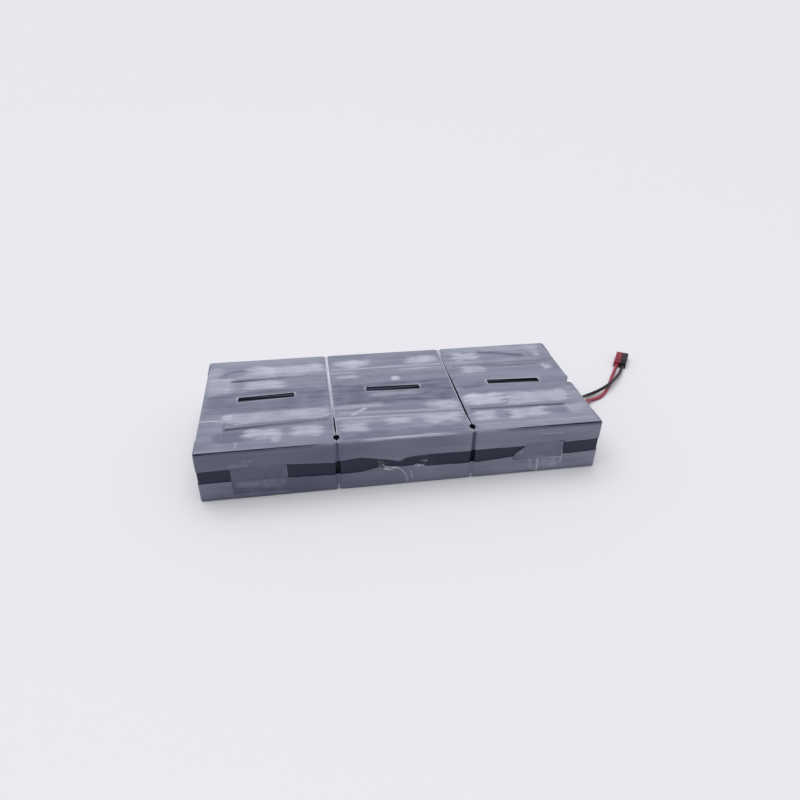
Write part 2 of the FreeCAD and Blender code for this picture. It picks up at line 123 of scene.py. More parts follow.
def addNode(tree, kind, settings=None, links=None):
    node = tree.nodes.new(kind)
    for key, value in (settings or {}).items():
        if isinstance(key, str) and hasattr(node, key):
            setattr(node, key, value)
        else:
            node.inputs[key].default_value = value
    linkAll(tree, node, links or {})
    return node


def startMaterial(name, settings):
    material = bpy.data.materials.new(name)
    material.use_nodes = True
    tree = material.node_tree
    tree.nodes.clear()
    shader = addNode(tree, "ShaderNodeBsdfPrincipled", settings)
    addNode(tree, "ShaderNodeOutputMaterial", {}, {"Surface": shader})
    place = addNode(tree, "ShaderNodeTexCoord").outputs["Object"]
    return material, tree, shader, place


def grainOf(tree, place, size, detail=2.0):
    # noise whose blobs measure size, in millimetres along X, Y and Z
    mapping = addNode(tree, "ShaderNodeMapping", {"Scale": [1 / (s * mm) for s in size]}, {"Vector": place})
    settings = {"Scale": 1.0, "Detail": detail}
    return addNode(tree, "ShaderNodeTexNoise", settings, {"Vector": mapping})


def castFilm(name, deep, pale, wetAndShade, airAndHighlight):
    # polypropylene film, cast and stretched: hazy, with fine lines along the pull,
    # darker where it has wetted the case and where shade is painted, whitish where it stands off and where
    # highlights are painted
    material, tree, shader, place = startMaterial(name, {"IOR": 1.49, "Specular IOR Level": 0.4})
    broad = grainOf(tree, place, (170, 9, 9), 3.0)
    fine = grainOf(tree, place, (60, 1.8, 1.8), 2.0)  # finer lines than this would not show
    cloud = grainOf(tree, place, (48, 26, 26), 2.0)
    lines = addNode(tree, "ShaderNodeMath", {"operation": "MULTIPLY_ADD", 1: 0.5}, {0: fine, 2: broad})
    mixed = addNode(tree, "ShaderNodeMath", {"operation": "MULTIPLY_ADD", 1: 0.7}, {0: cloud, 2: lines})
    span = {"From Min": 0.8, "From Max": 1.4}
    tone = addNode(tree, "ShaderNodeMapRange", span, {"Value": mixed})
    shades = {"data_type": "RGBA", 6: hexColour(deep), 7: hexColour(pale)}
    colour = addNode(tree, "ShaderNodeMix", shades, {0: tone})
    # the darker mark: wetted film and painted shade
    wetted = addNode(tree, "ShaderNodeAttribute", {"attribute_name": "wetAndShade"})
    wetAndShaded = addNode(tree, "ShaderNodeMix", {"data_type": "RGBA", 7: hexColour(wetAndShade)},
                    {0: wetted.outputs["Fac"], 6: colour.outputs[2]})
    # the whitish mark: air under the film and painted highlights
    airAndHighlightMark = addNode(tree, "ShaderNodeAttribute", {"attribute_name": "airAndHighlight"})
    clouded = addNode(tree, "ShaderNodeMix", {"data_type": "RGBA", 7: hexColour(airAndHighlight)},
                      {0: airAndHighlightMark.outputs["Fac"], 6: wetAndShaded.outputs[2]})
    gloss = addNode(tree, "ShaderNodeMapRange", {"To Min": 0.34, "To Max": 0.55}, {"Value": tone})
    relief = {"Strength": 0.35, "Distance": 0.25 * mm}
    bump = addNode(tree, "ShaderNodeBump", relief, {"Height": lines})
    linkAll(tree, shader, {"Base Color": clouded.outputs[2], "Roughness": gloss, "Normal": bump})
    return material


def packingTape(name, haze, folds, cloudiest, swing):
    # clear polypropylene tape: nearly unseen where it sticks, hazy over air, white along folds as a painted
    # highlight
    material, tree, shader, place = startMaterial(name, {"IOR": 1.49})
    ragged = grainOf(tree, place, (14, 5, 5), 4.0)
    streaky = grainOf(tree, place, (36, 1.8, 1.8), 3.0)
    air = addNode(tree, "ShaderNodeAttribute", {"attribute_name": "air"})
    fold = addNode(tree, "ShaderNodeAttribute", {"attribute_name": "fold"})
    grain = addNode(tree, "ShaderNodeMath", {"operation": "ADD"}, {0: ragged, 1: streaky})
    span = {"From Min": 0.6, "From Max": 1.4,
            "To Min": (1 - swing) * cloudiest, "To Max": (1 + swing) * cloudiest}
    patchy = addNode(tree, "ShaderNodeMapRange", span, {"Value": grain})
    cloud = addNode(tree, "ShaderNodeMath", {"operation": "MULTIPLY"}, {0: air.outputs["Fac"], 1: patchy})
    cover = addNode(tree, "ShaderNodeMath", {"operation": "MAXIMUM", "use_clamp": True},
                    {0: cloud, 1: fold.outputs["Fac"]})
    shades = {"data_type": "RGBA", 6: hexColour(haze), 7: hexColour(folds)}
    colour = addNode(tree, "ShaderNodeMix", shades, {0: fold.outputs["Fac"]})
    gloss = addNode(tree, "ShaderNodeMapRange", {"To Min": 0.25, "To Max": 0.5}, {"Value": ragged})
    relief = {"Strength": 0.3, "Distance": 0.4 * mm}
    bump = addNode(tree, "ShaderNodeBump", relief, {"Height": grain})
    linkAll(tree, shader, {"Base Color": colour.outputs[2], "Alpha": cover,
                           "Roughness": gloss, "Normal": bump})
    return material


def mouldedPlastic(name, deep, pale, grit, rough, relief=0.05, sheen="ffffff"):
    # moulded plastic: spark-eroded grain from the mould, with faint dust in broad patches
    material, tree, shader, place = startMaterial(name, {"IOR": 1.53, "Specular Tint": hexColour(sheen)})
    grain = grainOf(tree, place, (grit, grit, grit), 2.0)
    dust = grainOf(tree, place, (28, 28, 28), 4.0)
    shades = {"data_type": "RGBA", 6: hexColour(deep), 7: hexColour(pale)}
    colour = addNode(tree, "ShaderNodeMix", shades, {0: dust})
    span = {"To Min": rough - 0.08, "To Max": rough + 0.1}
    gloss = addNode(tree, "ShaderNodeMapRange", span, {"Value": dust})
    bump = addNode(tree, "ShaderNodeBump", {"Strength": 0.3, "Distance": relief * mm}, {"Height": grain})
    linkAll(tree, shader, {"Base Color": colour.outputs[2], "Roughness": gloss, "Normal": bump})
    return material


def platedMetal(name, deep, pale, rough):
    # plated sheet metal: bright, with rolling lines and dull spots
    material, tree, shader, place = startMaterial(name, {"Metallic": 1.0})
    rolled = grainOf(tree, place, (8, 0.4, 0.4), 2.0)
    dull = grainOf(tree, place, (3, 3, 3), 3.0)
    shades = {"data_type": "RGBA", 6: hexColour(deep), 7: hexColour(pale)}
    colour = addNode(tree, "ShaderNodeMix", shades, {0: dull})
    span = {"To Min": rough - 0.1, "To Max": rough + 0.15}
    gloss = addNode(tree, "ShaderNodeMapRange", span, {"Value": rolled})
    linkAll(tree, shader, {"Base Color": colour.outputs[2], "Roughness": gloss})
    return material


def closedCellFoam(name, deep, pale):
    # cross-linked foam: matt, with small open cells on the cut faces
    material, tree, shader, place = startMaterial(name, {"Roughness": 0.9, "IOR": 1.45})
    mapping = addNode(tree, "ShaderNodeMapping", {"Scale": [1 / (0.9 * mm)] * 3}, {"Vector": place})
    holes = addNode(tree, "ShaderNodeTexVoronoi", {"Scale": 1.0}, {"Vector": mapping})
    cells = holes.outputs["Distance"]
    shades = {"data_type": "RGBA", 6: hexColour(deep), 7: hexColour(pale)}
    colour = addNode(tree, "ShaderNodeMix", shades, {0: cells})
    bump = addNode(tree, "ShaderNodeBump", {"Strength": 0.6, "Distance": 0.2 * mm}, {"Height": cells})
    linkAll(tree, shader, {"Base Color": colour.outputs[2], "Normal": bump})
    return material


finishes = {
    "case_plastic": mouldedPlastic("mouldedBlackAbs", "131524", "1d2133", 0.5, 0.4, sheen="dadefa"),
    "valve_rubber": mouldedPlastic("mouldedEpdmRubber", "0f0f11", "1a1a1c", 0.8, 0.75),
    "terminal_metal": platedMetal("tinnedBrassSheet", "a8a49a", "cfccc4", 0.32),
    "link_metal": platedMetal("tinnedCopperStrip", "a6a39c", "d0cec8", 0.35),
    "plate_lead": mouldedPlastic("castLeadAndPaste", "4d4d51", "6a6a70", 1.5, 0.7, 0.2),
    "wrap_film": castFilm("castPolypropyleneFilm", "75788a", "8d90a2", "50536a", "d6d8e6"),
    "clear_tape": packingTape("clearPolypropyleneTape", "d6d8e7", "e6e7f0", 0.6, 0.35),
    "foam": closedCellFoam("closedCellFoam", "232432", "3a3b4c"),
    "red_insulation": mouldedPlastic("extrudedRedPvc", "8c2438", "a83a4e", 1.2, 0.38),
    "black_insulation": mouldedPlastic("extrudedBlackPvc", "141316", "222126", 1.2, 0.4, sheen="cfbfca"),
    "red_housing": mouldedPlastic("mouldedRedPolycarbonate", "7b1d2d", "912c3e", 0.6, 0.35, sheen="d8ccd0"),
    "black_housing": mouldedPlastic("mouldedBlackPolycarbonate", "121114", "1f1e22", 0.6, 0.36,
                                    sheen="bcaab6"),
    "contact_metal": platedMetal("silverPlatedCopper", "bdbbb6", "dedcd6", 0.25),
}
# two of the short front tapes have gone grey, and their folds are white as a painted highlight
agedTape = packingTape("agedPolypropyleneTape", "6e7087", "c8c9d6", 1.0, 0.06)
# pale ridges along the folds, a painted highlight
foldHighlightTape = mouldedPlastic("foldHighlightPolypropylene", "b4b5c2", "cdced9", 1.5, 0.4)
slotOf = {row["node"]: row["material_slot"] for row in frame["record"]["subparts"]}
for node, piece in frame["nodes"].items():
    piece.data.materials.clear()
    piece.data.materials.append(finishes[slotOf[node]])
print("finishes on", len(slotOf), "nodes")


def standFor(piece, node):
    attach(piece, "root")
    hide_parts(node)
    return piece


def addTrim(piece):
    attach(piece, "root")


# Leads: the route's points are the control points of one smooth line each
leads = {
    "diameter": 4.6,
    "red": {
        "node": "red_lead",
        "length": 204.9,
        "with": ["red_connector_housing", "connector_contacts"],
        "route": [
            (228.3, -4.1, 16.8), (242.5, -4.1, 16.8), (257, 4.6, 19), (269.5, 19, 13.6), (280, 31.6, 6.6),
            (291, 38.8, 2.9), (304, 43.2, 2.4), (316, 52.2, 2.4), (326.6, 64.6, 2.4), (336.8, 79.2, 2.5),
            (348, 95.5, 2.8), (360.383, 112.126, 4.5), (371.217, 128.938, 4.5)],
    },
    "black": {
        "node": "black_lead",
        "length": 202.0,
        "with": ["black_connector_housing"],
        "route": [
            (228.3, 4.1, 16.8), (243, 4.1, 16.8), (257.5, 14, 19.8), (268.5, 28.6, 14.8), (279, 41, 7.8),
            (290.8, 49.9, 4.2), (304, 54.6, 5), (316, 58.4, 8), (327.5, 65.4, 8.8), (338.5, 75, 8.2),
            (350.5, 87.6, 6.2), (367.949, 107.251, 4.5), (378.783, 124.062, 4.5)],
    },
}


def makeLead(colour):
    lead = leads[colour]
    line = bpy.data.curves.new(colour + "Lead", "CURVE")
    line.dimensions = "3D"
    spline = line.splines.new("NURBS")
    spline.points.add(len(lead["route"]) - 1)
    for point, spot in zip(spline.points, lead["route"]):
        point.co = (*[value * mm for value in spot], 1.0)
    spline.order_u = 3
    spline.use_endpoint_u = True
    spline.resolution_u = 12
    line.bevel_depth = leads["diameter"] / 2 * mm
    line.bevel_resolution = 5
    line.use_fill_caps = True
    piece = addObject(colour + "Lead", line)
    line.materials.append(finishes[slotOf[lead["node"]]])
    standFor(piece, lead["node"])


for colour in ("red", "black"):
    makeLead(colour)
print("leads laid")


# Sheets: grids of points become one thin closed skin
def smooth(low, high, value):
    share = np.clip((value - low) / (high - low), 0, 1)
    return share * share * (3 - 2 * share)


waveGain = 1.6  # brings Blender's noise to between about -1 and 1
sharpFrom = 50  # degrees: edges flatter than this are shaded smooth


def ripple(x, y, size, longX, longY, seed, shift=0.0):
    # smooth random waves, with their size either way and their lengths along X and Y
    wave = np.vectorize(lambda a, b: noise.noise((a / longX, b / longY, seed + shift)))
    return wave(x, y) * waveGain * size


def gridLines(marks, step):
    spots = []
    for low, high in zip(marks, marks[1:]):
        count = max(1, math.ceil((high - low) / step))
        spots += [low + (high - low) * i / count for i in range(count)]
    return np.array(spots + [marks[-1]])


def alongRule(rule, place):
    # value of a given outline, a list of pairs, at each place
    return np.interp(place, [spot for spot, _ in rule], [value for _, value in rule])


def settle(piece, material):
    # the modifiers' result becomes the piece's own plain mesh
    bpy.context.view_layer.update()
    graph = bpy.context.evaluated_depsgraph_get()
    mesh = bpy.data.meshes.new_from_object(
        piece.evaluated_get(graph), preserve_all_data_layers=True, depsgraph=graph)
    piece.modifiers.clear()
    piece.data = mesh
    mesh.materials.clear()
    mesh.materials.append(material)
    mesh.polygons.foreach_set("use_smooth", [True] * len(mesh.polygons))
    mesh.set_sharp_from_angle(angle=math.radians(sharpFrom))
    return piece


def sheetPiece(name, sheets, thick, material):
    # each sheet has its points, the cells left out of it and its marks for the material
    spots, faces, values = [], [], {}
    for points, holes, marks in sheets:
        rows, columns = points.shape[:2]
        start = len(spots)
        spots += (points.reshape(-1, 3) * mm).tolist()
        for i in range(rows - 1):
            for j in range(columns - 1):
                if holes is None or not holes[i, j]:
                    first = start + i * columns + j
                    faces.append((first, first + 1, first + columns + 1, first + columns))
        for label, amounts in marks.items():
            values.setdefault(label, []).extend(amounts.ravel().tolist())
    mesh = bpy.data.meshes.new(name)
    mesh.from_pydata(spots, [], faces)
    for label, amounts in values.items():
        mesh.attributes.new(label, "FLOAT", "POINT").data.foreach_set("value", amounts)
    work = bmesh.new()
    work.from_mesh(mesh)
    bmesh.ops.delete(work, geom=[v for v in work.verts if not v.link_faces], context="VERTS")
    work.to_mesh(mesh)
    work.free()
    piece = addObject(name, mesh)
    skin = piece.modifiers.new("skin", "SOLIDIFY")
    skin.thickness = thick * mm
    skin.offset = -1
    return settle(piece, material)


def overEdge(reach, flat, radius, lift):
    # a sheet's way over a rounded edge: reach runs along the case, flat is where the edge begins
    turn = np.clip((reach - flat) / radius, 0, math.pi / 2)
    down = np.maximum(reach - flat - radius * math.pi / 2, 0)
    along = np.minimum(reach, flat) + (radius + lift) * np.sin(turn)
    drop = (radius + lift) * (1 - np.cos(turn)) + down
    return along, drop


def edgeHaze(look, *inward):
    # haze that fades from a sheet's edges, given the distances to them
    amount, wide = look
    return amount * np.exp(-np.minimum.reduce(inward) / wide)


# Marks on the top, seen through film and tape alike
topMarks = {
    # air left under the film: left, right, near and far edge, amount
    "pockets": [
        (-180, -80, 57, 82, 0.5), (-164, -144, 61, 81, 0.95), (-126, -82, 61, 77, 0.85),
        (-183, -135, 25, 44, 0.55), (-168, -146, 28, 41, 0.7), (-231, -210, 14, 84, 0.36),
        (-231, -196, 18, 56, 0.45),
        (-208, -82, -47, -28, 0.36), (-205, -194, -42, -29, 0.85), (-190, -160, -42, -32, 0.5),
        (-131, -107, -41, -29, 0.65), (-176, -139, -77, -65, 0.7), (-166, -152, -85, -70, 0.4),
        (-150, -138, -91, -70, 0.45), (-125, -92, -82, -64, 0.55), (-112, -98, -78, -68, 0.75),
        (-68, -23, 65, 84, 0.7), (-60, -34, 68, 81, 0.85), (30, 70, 65, 86, 0.6), (44, 66, 69, 85, 0.9),
        (-74, -45, 49, 53, 0.75), (14, 73, 49, 53, 0.75), (-67, -42, 36, 43, 0.5), (2, 12, 24, 35, 0.95),
        (-34, 32, -12, -2, 0.4), (34, 73, -48, -31, 0.55), (40, 60, -44, -34, 0.7),
        (-17, 11, -74, -61, 0.62), (27, 69, -76, -61, 0.6), (-70, -42, -83, -65, 0.5),
        (-74, -16, -35, -26, 0.3), (92, 127, 65, 84, 0.75), (95, 130, 30, 45, 0.5),
        (207, 219, 29, 41, 0.75), (205, 217, 64, 87, 0.28), (82, 134, -46, -21, 0.95),
        (131, 214, -51, -24, 0.5), (150, 200, -44, -30, 0.55), (84, 112, -78, -61, 0.55),
        (127, 173, -80, -62, 0.75), (200, 227, -80, -58, 0.3), (-228, -84, 86, 99, 0.15),
        (84, 228, 84, 99, 0.35), (84, 228, -99, -80, 0.12), (212, 231, -84, -14, 0.2),
        (-200, -82, 52, 60, 0.3), (-75, 75, 57, 62, 0.25), (84, 210, 55, 62, 0.2),
        (-72, 72, -66, -60, 0.25)],
    # where the film has wetted the case, given the same way, in streaks or in one stain
    "stains": [
        (-215, -172, -87, -64, 0.62), (171, 203, -78, -64, 0.25), (123, 135, -76, -64, 0.5),
        (176, 184, -36, -28, 0.6)],
    "wetted": [
        (-75, -33, -11, 17, 0.75), (31, 77, -12, 11, 0.75), (82, 120, -10, 6, 0.6),
        (-114, -81, -10, 16, 0.65), (-231, -81, -27, 22, 0.55), (-76, 76, -30, 21, 0.75),
        (38, 72, 56, 63, 0.45), (-74, 72, -100, -84, 0.5), (81, 229, -22, 14, 0.2),
        (-75, -20, 86, 99, 0.2), (-231, -81, -100, -86, 0.2)],
    # streaks: both ends, width, amount; pale if positive, dark if negative
    "streaks": [
        ((-230, -39), (-205, -41), 1.8, 0.8), ((-187, -86), (-187, -95), 2.5, 0.25),
        ((-74, 61), (72, 58), 1.8, 0.45), ((-40, 57), (72, 54), 2.5, -0.5),
        ((-74, 54), (-30, 53), 1.6, -0.5), ((-72, -43), (74, -52), 1.8, 0.4),
        ((-225, 12), (-84, 15), 2.0, -0.35), ((-225, -20), (-84, -18), 3.0, -0.35),
        ((84, 63), (200, 58), 2.5, -0.35), ((90, -12), (220, -14), 2.5, -0.3),
        ((-74, -20), (74, -24), 3.0, -0.35), ((84, -88), (225, -90), 2.0, 0.3),
        ((-190, -50), (-84, -46), 1.6, 0.45), ((-228, 30), (-206, 31), 2.0, 0.35),
        ((-216, 59), (-204, 69), 6.0, -0.55), ((-204, 69), (-184, 75), 6.0, -0.6),
        ((-55, -48), (-40, -37), 4.5, 0.5), ((-75, -54), (75, -60), 2.2, 0.6),
        ((-72, -51), (70, -57), 2.0, -0.35), ((134, 85), (187, 69), 9.0, -0.75),
        ((128, 47), (183, 43), 5.0, -0.6), ((84, 53), (214, 50), 4.0, -0.25),
        ((-201, -60), (-84, -53), 7.0, -0.75), ((-202, -31), (-202, -60), 2.2, -0.5),
        ((85, -55), (201, -59), 6.0, -0.6), ((-201, 46.5), (-171, 48), 6.0, -0.75),
        ((-171, 48), (-84, 53), 4.0, -0.45)],
}
# how they look; a wave has its size, its lengths in X and Y and its seed
markLook = {
    # of a patch's ends and sides, and of the lines and spots in it
    "waves": [(9, 70, 3.4, 31.0), (3.2, 18, 30, 12.0), (0.4, 60, 3.4, 17.0), (0.3, 17, 8, 5.0)],
    "tone": 0.8,
    "wavyFrom": (45, 14),  # length and width from which a patch has its full waves
    "endFade": (9, 3.5),  # at most the first, or the patch's length over the second
    "outside": 0.6,  # how much of that fade is outside the patch
    "sideFade": (-2.5, 3.5),
    "streakFade": (0.25, 0.65),  # in widths of the streak
    "stainFade": (0.6, 1.15),  # in half sizes of the stain
}


def pocketShare(x, y, pockets):
    # patches with streaky ends along the pull of the film and nearly straight sides
    ends, sides, lines, spots = (ripple(x, y, *wave) for wave in markLook["waves"])
    tone = markLook["tone"] + lines + spots
    wavyLong, wavyWide = markLook["wavyFrom"]
    mostFade, fadeShare = markLook["endFade"]
    share = np.zeros_like(x)
    for left, right, near, far, amount in pockets:
        across = np.minimum(x - left, right - x) + ends * min(1, (right - left) / wavyLong)
        along = np.minimum(y - near, far - y) + sides * min(1, (far - near) / wavyWide)
        fade = min(mostFade, (right - left) / fadeShare)
        inside = smooth(-markLook["outside"] * fade, fade, across) * smooth(*markLook["sideFade"], along)
        share = np.maximum(share, amount * inside * tone)
    return np.clip(share, 0, 1)


def streakShare(x, y, streaks, sign):
    share = np.zeros_like(x)
    for start, end, wide, amount in streaks:
        if amount * sign > 0:
            run = np.subtract(end, start)
            spot = np.clip(((x - start[0]) * run[0] + (y - start[1]) * run[1]) / (run @ run), 0, 1)
            away = np.hypot(x - start[0] - spot * run[0], y - start[1] - spot * run[1])
            full, gone = (wide * part for part in markLook["streakFade"])
            share = np.maximum(share, abs(amount) * (1 - smooth(full, gone, away)))
    return share


def stainShare(x, y, stains):
    # smooth ovals
    share = np.zeros_like(x)
    for left, right, near, far, amount in stains:
        across = np.abs(2 * x - left - right) / (right - left)
        along = np.abs(2 * y - near - far) / (far - near)
        outward = (across ** 3 + along ** 3) ** (1 / 3)
        share = np.maximum(share, amount * (1 - smooth(*markLook["stainFade"], outward)))
    return share


def looseShare(x, y):
    return np.maximum(pocketShare(x, y, topMarks["pockets"]), streakShare(x, y, topMarks["streaks"], 1))


def tightShare(x, y):
    return np.maximum.reduce([pocketShare(x, y, topMarks["wetted"]), stainShare(x, y, topMarks["stains"]),
                              streakShare(x, y, topMarks["streaks"], -1)])


# Top films, one on each column: slit over the channel, two joints, edges tucked into the seams
topFilm = {
    "step": 1.5,
    "fineRows": (5.0, 17.0, 0.5),  # closer rows near the front face: from, to, step
    "thick": 0.2,
    "lift": 0.16,
    "waves": [(0.14, 120, 11, 3.1), (0.05, 60, 4, 8.7)],
    "inset": 0.8,  # from the pack's faces to the film's front and back edges
    "slit": (33.5, 5.0),  # half its length and width
    "slitMiddle": 2.0,
    "joints": (-57.0, 48.0),
    "jointHalf": 1.25,
    "jointEnds": (2.0, 200.0),  # distance from the film's edge at a seam, or from the pack's middle
    "follow": (13.0, 9.0),  # how far off the film moves along with the slit and with a joint
    "airPale": 0.8,
    "apron": 12.0,  # how far the film goes down the pack's ends
    "tailSteps": 10,
    # the paleness of an edge towards a seam is painted light
    "tailPale": (0.6, 0.85),  # shares of the way to a seam between which the film turns pale
    # along Y: how steeply an edge leaves its column for the seam
    "bridgeAngle": [(-101, 5), (-80, 5), (-68, 24), (101, 24)],
    "gapWave": (0.12, 9, 9, 4.0),
    "leastGap": 0.05,
    # along Y: half the gap that the two edges leave open over each seam, in millimetres
    "gap": {
        "left": [(-101, 0.5), (-82, 0.45), (-76, 0.9), (-54, 0.9), (-46, 0.25), (-20, 0.1), (101, 0.1)],
        "right": [(-101, 0.5), (-80, 0.7), (-60, 1.2), (10, 1.0), (50, 0.6), (80, 0.35), (92, 0.1),
                  (101, 0.1)],
    },
    # along Y: how pale the edge is on the left and right of each seam; this paleness is painted light
    "pale": {
        "left": [[(-101, 0.3), (-50, 0.2), (-20, 0.55), (20, 0.8), (101, 1)],
                 [(-101, 0.3), (-50, 0.3), (-20, 0.55), (20, 0.8), (101, 1)]],
        "right": [[(-101, 0.4), (-30, 0.5), (30, 0.65), (101, 1)],
                  [(-101, 0.05), (80, 0.1), (90, 0.8), (101, 1)]],
    },
    "rim": (0.5, 1.3),  # the slit's edges stand up a little: height and width
    # painted highlight along the slit's raised edges:
    "rimPale": (0.2, 0.75),  # on the near and the far side
    # the bare corners beside the seams: distance from the face, half length, half width
    "dot": (10.6, 5.0, 3.6),
    # torn place at the right end: tip and edge in X, near, tip and far in Y
    "notch": (222.5, 230.0, -12.5, -10.5, 6.6),
    # the film from there, folded down: how far back it starts and past the end it goes
    "flap": {"back": 1.0, "past": 0.9, "long": 14.0, "grid": (15, 7), "pale": 0.7},
    # each joint has its slope, its shift and half its width at the left and the right
    "left": {"slitTilt": 0.06, "slitShift": 2.2,
             "joint": [(0.064, 0.0, 1.7, 1.4), (0.05, 0.3, 1.7, 0.3)]},
    "middle": {"slitTilt": -0.042, "slitShift": 4.1,
               "joint": [(-0.04, 0.0, 0.25, 0.25), (0.0, 2.0, 0.3, 0.3)]},
    "right": {"slitTilt": -0.061, "slitShift": 0.6,
              "joint": [(-0.036, -0.2, 0.8, 1.3), (-0.057, -3.0, 0.3, 0.5)]},
}


def filmLift(x, y):
    return pack["film"] + topFilm["lift"] + sum(ripple(x, y, *wave) for wave in topFilm["waves"])


def edgeTail(column, side, along, bare):
    # the film's way over one edge of its column: distance out, drop and paleness, which at a seam is painted
    # light
    radius, lift = pack["sideRound"], pack["film"]
    travel = np.linspace(0, 1, topFilm["tailSteps"] + 1)[None, 1:]
    if side == column:
        end = radius * math.pi / 2 + topFilm["apron"]
        out, drop = overEdge(travel * np.full((len(along), 1), end), 0, radius, lift)
        return out, drop, 0 * out
    # towards a seam it leaves the rounded edge early and runs straight on,
    # or stops short where the case is bare
    seam = "left" if (column, side) in (("left", "right"), ("middle", "left")) else "right"
    middle = radius + (pack["pitch"] - pack["block"]) / 2
    bend = np.radians(alongRule(topFilm["bridgeAngle"], along))[:, None]
    opening = alongRule(topFilm["gap"][seam], along)
    opening = opening + ripple(along, along, *topFilm["gapWave"], len(column))
    whole = middle - np.maximum(opening, topFilm["leastGap"])
    first = (radius + lift) * np.sin(bend)
    reach = travel * whole[:, None]
    turn = np.arcsin(np.minimum(reach, first) / (radius + lift))
    drop = (radius + lift) * (1 - np.cos(turn)) + np.maximum(reach - first, 0) * np.tan(bend)
    kept = np.minimum(1, (middle - topFilm["dot"][2] * bare) / whole)[:, None]
    reach, drop = reach * kept, drop * kept ** 2
    pale = alongRule(topFilm["pale"][seam][0 if side == "right" else 1], along)[:, None]
    return reach, drop, pale * smooth(*topFilm["tailPale"], travel) * (1 - bare[:, None])


def tornFlap():
    # film folded from the torn place down the side of the back block
    flap = topFilm["flap"]
    low, high = cornersOf("back_right_lid")
    start = low[1] + pack["sideRound"] - flap["back"]
    rows, columns = flap["grid"]
    across = np.linspace(topFilm["notch"][0], high[0] + flap["past"], columns)
    reach, x = np.meshgrid(np.linspace(0, flap["long"], rows), across, indexing="ij")
    out, drop = overEdge(reach, 0, pack["sideRound"], pack["film"])
    points = np.stack([x, start - out, pack["top"] + pack["film"] - drop], -1)
    return points[::-1], None, {"wetAndShade": 0 * x, "airAndHighlight": flap["pale"] + 0 * x}


def makeTopFilm(column):
    own = topFilm[column]
    centre = columnPlace[column]
    half = pack["block"] / 2
    flat = half - pack["sideRound"]
    slitLong, slitWide = topFilm["slit"]
    slitMiddle, jointHalf = topFilm["slitMiddle"], topFilm["jointHalf"]
    filmLow, filmHigh = (corner[0] - centre for corner in cornersOf(column + "_top_film"))
    fromSeam, fromMiddle = topFilm["jointEnds"]
    jointStart = filmLow + fromSeam if column != "left" else -fromMiddle - centre
    jointStop = filmHigh - fromSeam if column != "right" else fromMiddle - centre
    inner = gridLines(sorted({-flat, -slitLong, slitLong, flat, jointStart, jointStop}), topFilm["step"])
    crossings = [topFilm["inset"] - pack["face"]]
    nearJoint, farJoint = topFilm["joints"]
    for place, wide in ((nearJoint, jointHalf), (slitMiddle, slitWide), (farJoint, jointHalf)):
        crossings += [place - wide, place + wide]
    along = gridLines(crossings + [pack["face"] - topFilm["inset"]], topFilm["step"])
    first, last, step = topFilm["fineRows"]
    along = np.unique(np.concatenate([along, np.arange(first - pack["face"], last - pack["face"], step)]))
    # the edges pull back near the front corners, where the case shows
    fromFace, dotHalf = topFilm["dot"][:2]
    bare = np.sqrt(np.maximum(0, 1 - ((along + pack["face"] - fromFace) / dotHalf) ** 2))
    left, right = (edgeTail(column, side, along, bare) for side in ("left", "right"))
    flats = np.repeat(inner[None, :], len(along), axis=0)
    level = 0 * flats
    stretches = zip((-flat - left[0], *left[1:]), (flats, level, level), (flat + right[0], *right[1:]))
    x, drop, pale = (np.concatenate([first[:, ::-1], middle, last], axis=1)
                     for first, middle, last in stretches)
    y = np.repeat(along[:, None], x.shape[1], axis=1)
    slitFollow, jointFollow = topFilm["follow"]
    swing = np.exp(-((y - slitMiddle) / slitFollow) ** 2)
    moved = y + swing * (own["slitShift"] + own["slitTilt"] * x)
    for joint, (slope, shift, first, last) in zip(topFilm["joints"], own["joint"]):
        away = y - joint
        near = 1 - smooth(0, jointFollow, np.abs(away))
        wide = np.interp(x, [-half, half], [first, last]) / jointHalf
        moved = moved + near * (slope * x + shift + np.clip(away, -jointHalf, jointHalf) * (wide - 1))
    rim = np.maximum(np.abs(x) - slitLong, np.abs(y - slitMiddle) - slitWide)
    rimHigh, rimWide = topFilm["rim"]
    lip = np.exp(-np.maximum(rim, 0) / rimWide)
    z = pack["top"] + filmLift(x + centre, y) + rimHigh * lip - drop
    middleX = (x[:, 1:] + x[:, :-1])[:-1] / 2
    middleY = (y[1:] + y[:-1])[:, :-1] / 2
    holes = (np.abs(middleX) < slitLong) & (np.abs(middleY - slitMiddle) < slitWide)
    for joint in topFilm["joints"]:
        holes |= (np.abs(middleY - joint) < jointHalf) & (middleX > jointStart) & (middleX < jointStop)
    if column == "right":
        tip, edge, near, point, far = topFilm["notch"]
        place = (moved[1:] + moved[:-1])[:, :-1] / 2
        torn = np.maximum((point - place) / (point - near), (place - point) / (far - point))
        holes |= middleX + centre > tip + (edge - tip) * torn
        holes &= (torn < 1) | (middleX + centre < tip)
    # painted highlight along the slit's raised edges, brighter on the far side
    nearPale, farPale = topFilm["rimPale"]
    lit = lip * np.where(y > slitMiddle, farPale, nearPale)
    airAndHighlight = np.maximum.reduce([topFilm["airPale"] * looseShare(x + centre, moved), lit, pale])
    wetAndShade = tightShare(x + centre, moved)
    sheets = [(np.stack([x + centre, moved, z], -1), holes, {"wetAndShade": wetAndShade, "airAndHighlight": airAndHighlight})]
    if column == "right":
        sheets.append(tornFlap())
    piece = sheetPiece(column + "TopFilm", sheets, topFilm["thick"], finishes["wrap_film"])
    standFor(piece, column + "_top_film")


for column in columnPlace:
    makeTopFilm(column)
print("top films laid")


